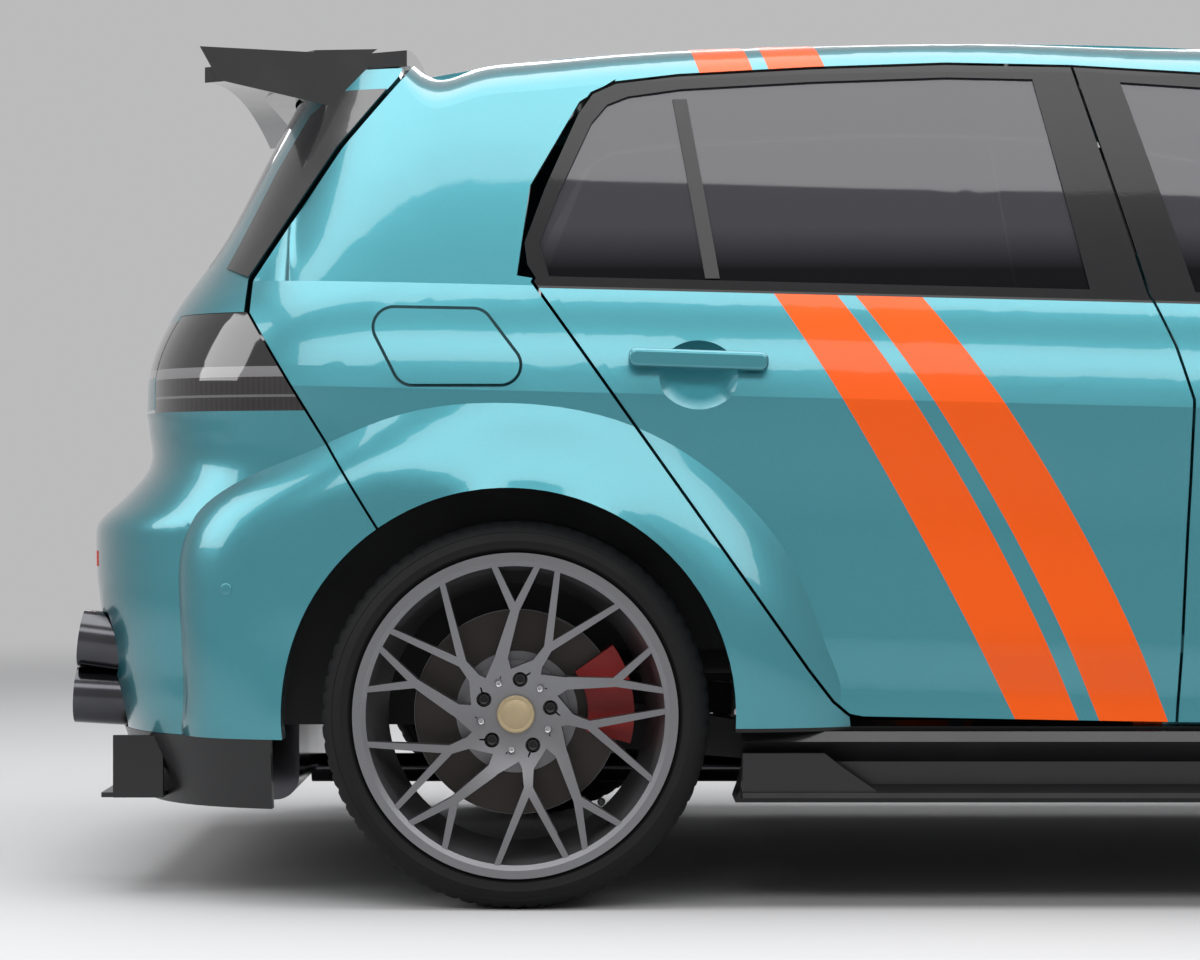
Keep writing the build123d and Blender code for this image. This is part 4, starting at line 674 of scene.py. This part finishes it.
# %% Sensors
def disc_on(node, x, z, side, radius, lift):
    """Low round cap that lies on a side panel."""
    rings = [(0.0, lift), (radius * 0.86, lift), (radius, lift * 0.3), (radius, -0.002)]
    vertices, faces, segments = [], [], 28
    y = skin_y(node, x, z, side)
    slope_x = (skin_y(node, x + 0.012, z, side) - skin_y(node, x - 0.012, z, side)) / 0.024
    slope_z = (skin_y(node, x, z + 0.012, side) - skin_y(node, x, z - 0.012, side)) / 0.024
    for r, out in rings:
        for i in range(segments):
            a = 2 * math.pi * i / segments
            dx, dz = r * math.cos(a), r * math.sin(a)
            vertices.append((x + dx, y + slope_x * dx + slope_z * dz + side * out, z + dz))
    for k in range(len(rings) - 1):
        for i in range(segments):
            n = (i + 1) % segments
            faces.append((k * segments + i, k * segments + n, (k + 1) * segments + n, (k + 1) * segments + i))
    return vertices, faces


for side, hand in ((-1, "right"), (1, "left")):
    spots = [("rear_bumper", REAR_X - 0.462, 0.507), ("front_bumper", FRONT_X + 0.53, 0.50)]
    for node, x, z in spots:
        cap = add_mesh(f"sensor_{node}_{hand}", *disc_on(node, x, z, side, 0.0095, 0.0006), paint, True)
        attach(cap, "body")
print("sensors ready")

# %% Reflectors
reflector_red = grained(new_material("reflector_red", (0.6, 0.03, 0.02), Coat_Weight=1.0)[0],
                        (0.55, 0.02, 0.015), (0.75, 0.07, 0.04), 260, 0.6, 0.12, 0.25)
for side, hand in ((-1, "right"), (1, "left")):
    rows, heights = [], (0.536, 0.562)
    for i in range(15):
        y = side * (0.42 + 0.0093 * i)
        hits = [nodes["rear_bumper"].ray_cast(Vector((-4, y, z)), Vector((1, 0, 0))) for z in heights]
        rows.append([hit[1] for hit in hits])
    vertices, faces = [], []
    for lower, upper in rows:
        vertices += [(lower.x - 0.002, lower.y, lower.z), (upper.x - 0.002, upper.y, upper.z),
                     (upper.x + 0.004, upper.y, upper.z), (lower.x + 0.004, lower.y, lower.z)]
    for i in range(len(rows) - 1):
        a, b = i * 4, i * 4 + 4
        faces += [(a + k, a + (k + 1) % 4, b + (k + 1) % 4, b + k) for k in range(4)]
    faces += [(0, 3, 2, 1), (len(vertices) - 4, len(vertices) - 3, len(vertices) - 2, len(vertices) - 1)]
    strip = outward(add_mesh(f"reflector_{hand}", vertices, faces, reflector_red))
    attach(strip, "body")
print("reflectors ready")

# %% [markdown]
# ## Seats
# A car seat is foam under sewn cloth: it swells between its seams and pulls in at them. Each cushion and
# back is remeshed, blown up a little as a cloth with pressure, and capped, so that it keeps its size.

# %% Cushion recipe
def blown(piece, voxel, pressure, cap):
    """Swells a closed mesh as cloth over foam; no point moves further than the cap."""
    remesh = piece.modifiers.new("remesh", "REMESH")
    remesh.mode, remesh.voxel_size = "VOXEL", voxel
    baked(piece)
    start = [v.co.copy() for v in piece.data.vertices]
    cloth_mod = piece.modifiers.new("cloth", "CLOTH")
    settings = cloth_mod.settings
    settings.use_pressure = True
    settings.uniform_pressure_force = pressure
    settings.effector_weights.gravity = 0
    for number in range(1, 15):
        bpy.context.scene.frame_set(number)
    baked(piece)
    bpy.context.scene.frame_set(1)
    for vertex, before in zip(piece.data.vertices, start):
        step = vertex.co - before
        if step.length > cap:
            vertex.co = before + step * (cap / step.length)
    smooth = piece.modifiers.new("smooth", "SMOOTH")
    smooth.iterations = 3
    piece = baked(piece)
    piece.data.shade_smooth()
    return piece


def shrunk_copy(node, name, amount):
    """Copy of a CAD seat, drawn in a little so that it can swell back."""
    source = nodes[node]
    mesh = source.data.copy()
    piece = bpy.data.objects.new(name, mesh)
    bpy.context.collection.objects.link(piece)
    weld = bmesh.new()
    weld.from_mesh(mesh)
    bmesh.ops.remove_doubles(weld, verts=weld.verts, dist=0.0002)
    weld.normal_update()
    for vertex in weld.verts:
        vertex.co -= vertex.normal * amount
    weld.to_mesh(mesh)
    weld.free()
    mesh.materials.clear()
    return piece


def seat_cloth():
    """Woven cloth: two crossed waves of thread, with sewn channels that run up the seat, and painted shade
    that darkens the cloth into each seam.
    """
    material, shader, tree = new_material("woven_cloth", (0.02, 0.02, 0.022), 0.9, 0.0, Sheen_Weight=0.4)
    place, x, y, z = object_xyz(tree)
    warp = maths(tree, "SINE", maths(tree, "MULTIPLY", y, 2600.0))
    weft = maths(tree, "SINE", maths(tree, "MULTIPLY", maths(tree, "ADD", x, z), 2600.0))
    weave = maths(tree, "MULTIPLY", warp, weft)
    swell = maths(tree, "ABSOLUTE", maths(tree, "SINE", maths(tree, "MULTIPLY", y, 26.0)))
    channel = maths(tree, "POWER", swell, 0.35)
    height = maths(tree, "ADD", maths(tree, "MULTIPLY", weave, 0.02), channel)
    bump = add_node(tree, "ShaderNodeBump", [("Strength", 0.7), ("Distance", 0.006), ("Height", height)])
    tree.links.new(bump.outputs["Normal"], shader.inputs["Normal"])
    # Painted shade: the cloth is painted darker from each channel's crown down into its seams.
    shade = blend_value(tree, channel, 0.3, 1.0)
    colour = blend_colour(tree, shade, (0.008, 0.008, 0.009), (0.032, 0.032, 0.036))
    tree.links.new(colour, shader.inputs["Base Color"])
    return material


woven = seat_cloth()
for node, name in (("front_seats", "front_seat_pads"), ("rear_seats", "rear_seat_pads")):
    pads = blown(shrunk_copy(node, name, 0.008), 0.014, 4.0, 0.010)
    pads.data.materials.append(woven)
    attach(pads, "body")
    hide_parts(node)
    print(name, len(pads.data.polygons), "faces")

# %% [markdown]
# ## Studio
# The car stands on pale paper that runs out, on every side, into an even grey, so it can be looked at from
# all round. Large soft boxes overhead and beside it give the long bright bands that show a body's shape.

# %% Floor
BACKDROP = (0.50, 0.50, 0.505)
FLOOR_NEAR, FLOOR_END = 4.5, 9.5


def floor_material():
    """Pale paper that fades to the backdrop's grey away from the car."""
    material, shader, tree = new_material("studio_paper", (0.56, 0.56, 0.565), 0.9)
    place, x, y, _ = object_xyz(tree)
    mottle = add_node(tree, "ShaderNodeTexNoise", [("Vector", place), ("Scale", 0.8)])
    paper = blend_colour(tree, mottle.outputs["Fac"], (0.55, 0.55, 0.555), (0.575, 0.575, 0.58))
    tree.links.new(paper, shader.inputs["Base Color"])
    square = maths(tree, "ADD", maths(tree, "MULTIPLY", x, x), maths(tree, "MULTIPLY", y, y))
    distance = maths(tree, "SQRT", square)
    away = add_node(tree, "ShaderNodeMapRange",
                    [("Value", distance), ("From Min", FLOOR_NEAR), ("From Max", FLOOR_END)],
                    interpolation_type="SMOOTHSTEP")
    grey = add_node(tree, "ShaderNodeEmission", [("Color", (*BACKDROP, 1)), ("Strength", 1.0)])
    mix = add_node(tree, "ShaderNodeMixShader",
                   [(0, away.outputs["Result"]), (1, shader.outputs[0]), (2, grey.outputs[0])])
    end = next(node for node in tree.nodes if node.type == "OUTPUT_MATERIAL")
    tree.links.new(mix.outputs[0], end.inputs["Surface"])
    return material


RINGS, SPOKES = (3.0, 6.0, FLOOR_END), 64
vertices = [(0, 0, 0)]
for r in RINGS:
    turns = [2 * math.pi * i / SPOKES for i in range(SPOKES)]
    vertices += [(r * math.cos(a), r * math.sin(a), 0) for a in turns]
faces = [(0, 1 + i, 1 + (i + 1) % SPOKES) for i in range(SPOKES)]
for ring in range(len(RINGS) - 1):
    low, high = 1 + SPOKES * ring, 1 + SPOKES * (ring + 1)
    faces += [(low + i, high + i, high + (i + 1) % SPOKES, low + (i + 1) % SPOKES) for i in range(SPOKES)]
floor = add_mesh("studio_floor", vertices, faces, floor_material(), True)


# %% Lights
def area_light(name, place, aim, width, depth, power):
    data = bpy.data.lights.new(name, "AREA")
    data.shape, data.size, data.size_y, data.energy = "RECTANGLE", width, depth, power
    lamp = bpy.data.objects.new(name, data)
    lamp.location = place
    lamp.rotation_euler = (Vector(aim) - Vector(place)).to_track_quat("-Z", "Y").to_euler()
    bpy.context.collection.objects.link(lamp)
    return lamp


area_light("overhead_box", (0, -0.6, 4.4), (0, -0.2, 0), 8, 4.2, 330)
area_light("right_strip", (-0.5, -4.6, 3.4), (-0.3, 0, 0.8), 7.5, 1.3, 95)
area_light("tail_box", (-5.2, -1.5, 2.6), (-1.5, 0, 0.7), 2.2, 2.6, 60)
area_light("left_strip", (0, 4.8, 3.2), (0, 0, 0.6), 8, 1.2, 80)
world = bpy.data.worlds.new("studio")
world.use_nodes = True
sky = world.node_tree
light = sky.nodes["Background"]
light.inputs["Color"].default_value = (0.30, 0.305, 0.315, 1)
seen = add_node(sky, "ShaderNodeBackground", [("Color", (*BACKDROP, 1)), ("Strength", 1.0)])
ray = add_node(sky, "ShaderNodeLightPath").outputs
mirrored = maths(sky, "MAXIMUM", ray["Is Glossy Ray"], ray["Is Transmission Ray"])
shown = maths(sky, "MAXIMUM", ray["Is Camera Ray"], mirrored)
choice = add_node(sky, "ShaderNodeMixShader", [(0, shown), (1, light.outputs[0]), (2, seen.outputs[0])])
sky.links.new(choice.outputs[0], sky.nodes["World Output"].inputs["Surface"])
bpy.context.scene.world = world

# %% Camera
SUBJECT_PLANE = WHEEL_Y + 0.129
CAMERA_DISTANCE = 5.6
camera_data = bpy.data.cameras.new("camera")
camera_data.sensor_width = 36
camera_data.lens = 106.6
camera = bpy.data.objects.new("camera", camera_data)
camera.location = (REAR_X + 0.134, -(SUBJECT_PLANE + CAMERA_DISTANCE), 0.681)
camera.rotation_euler = (math.radians(90), 0, 0)
bpy.context.collection.objects.link(camera)
bpy.context.scene.camera = camera
bpy.context.scene.view_settings.view_transform = "Standard"
print("camera at", [round(v, 3) for v in camera.location])
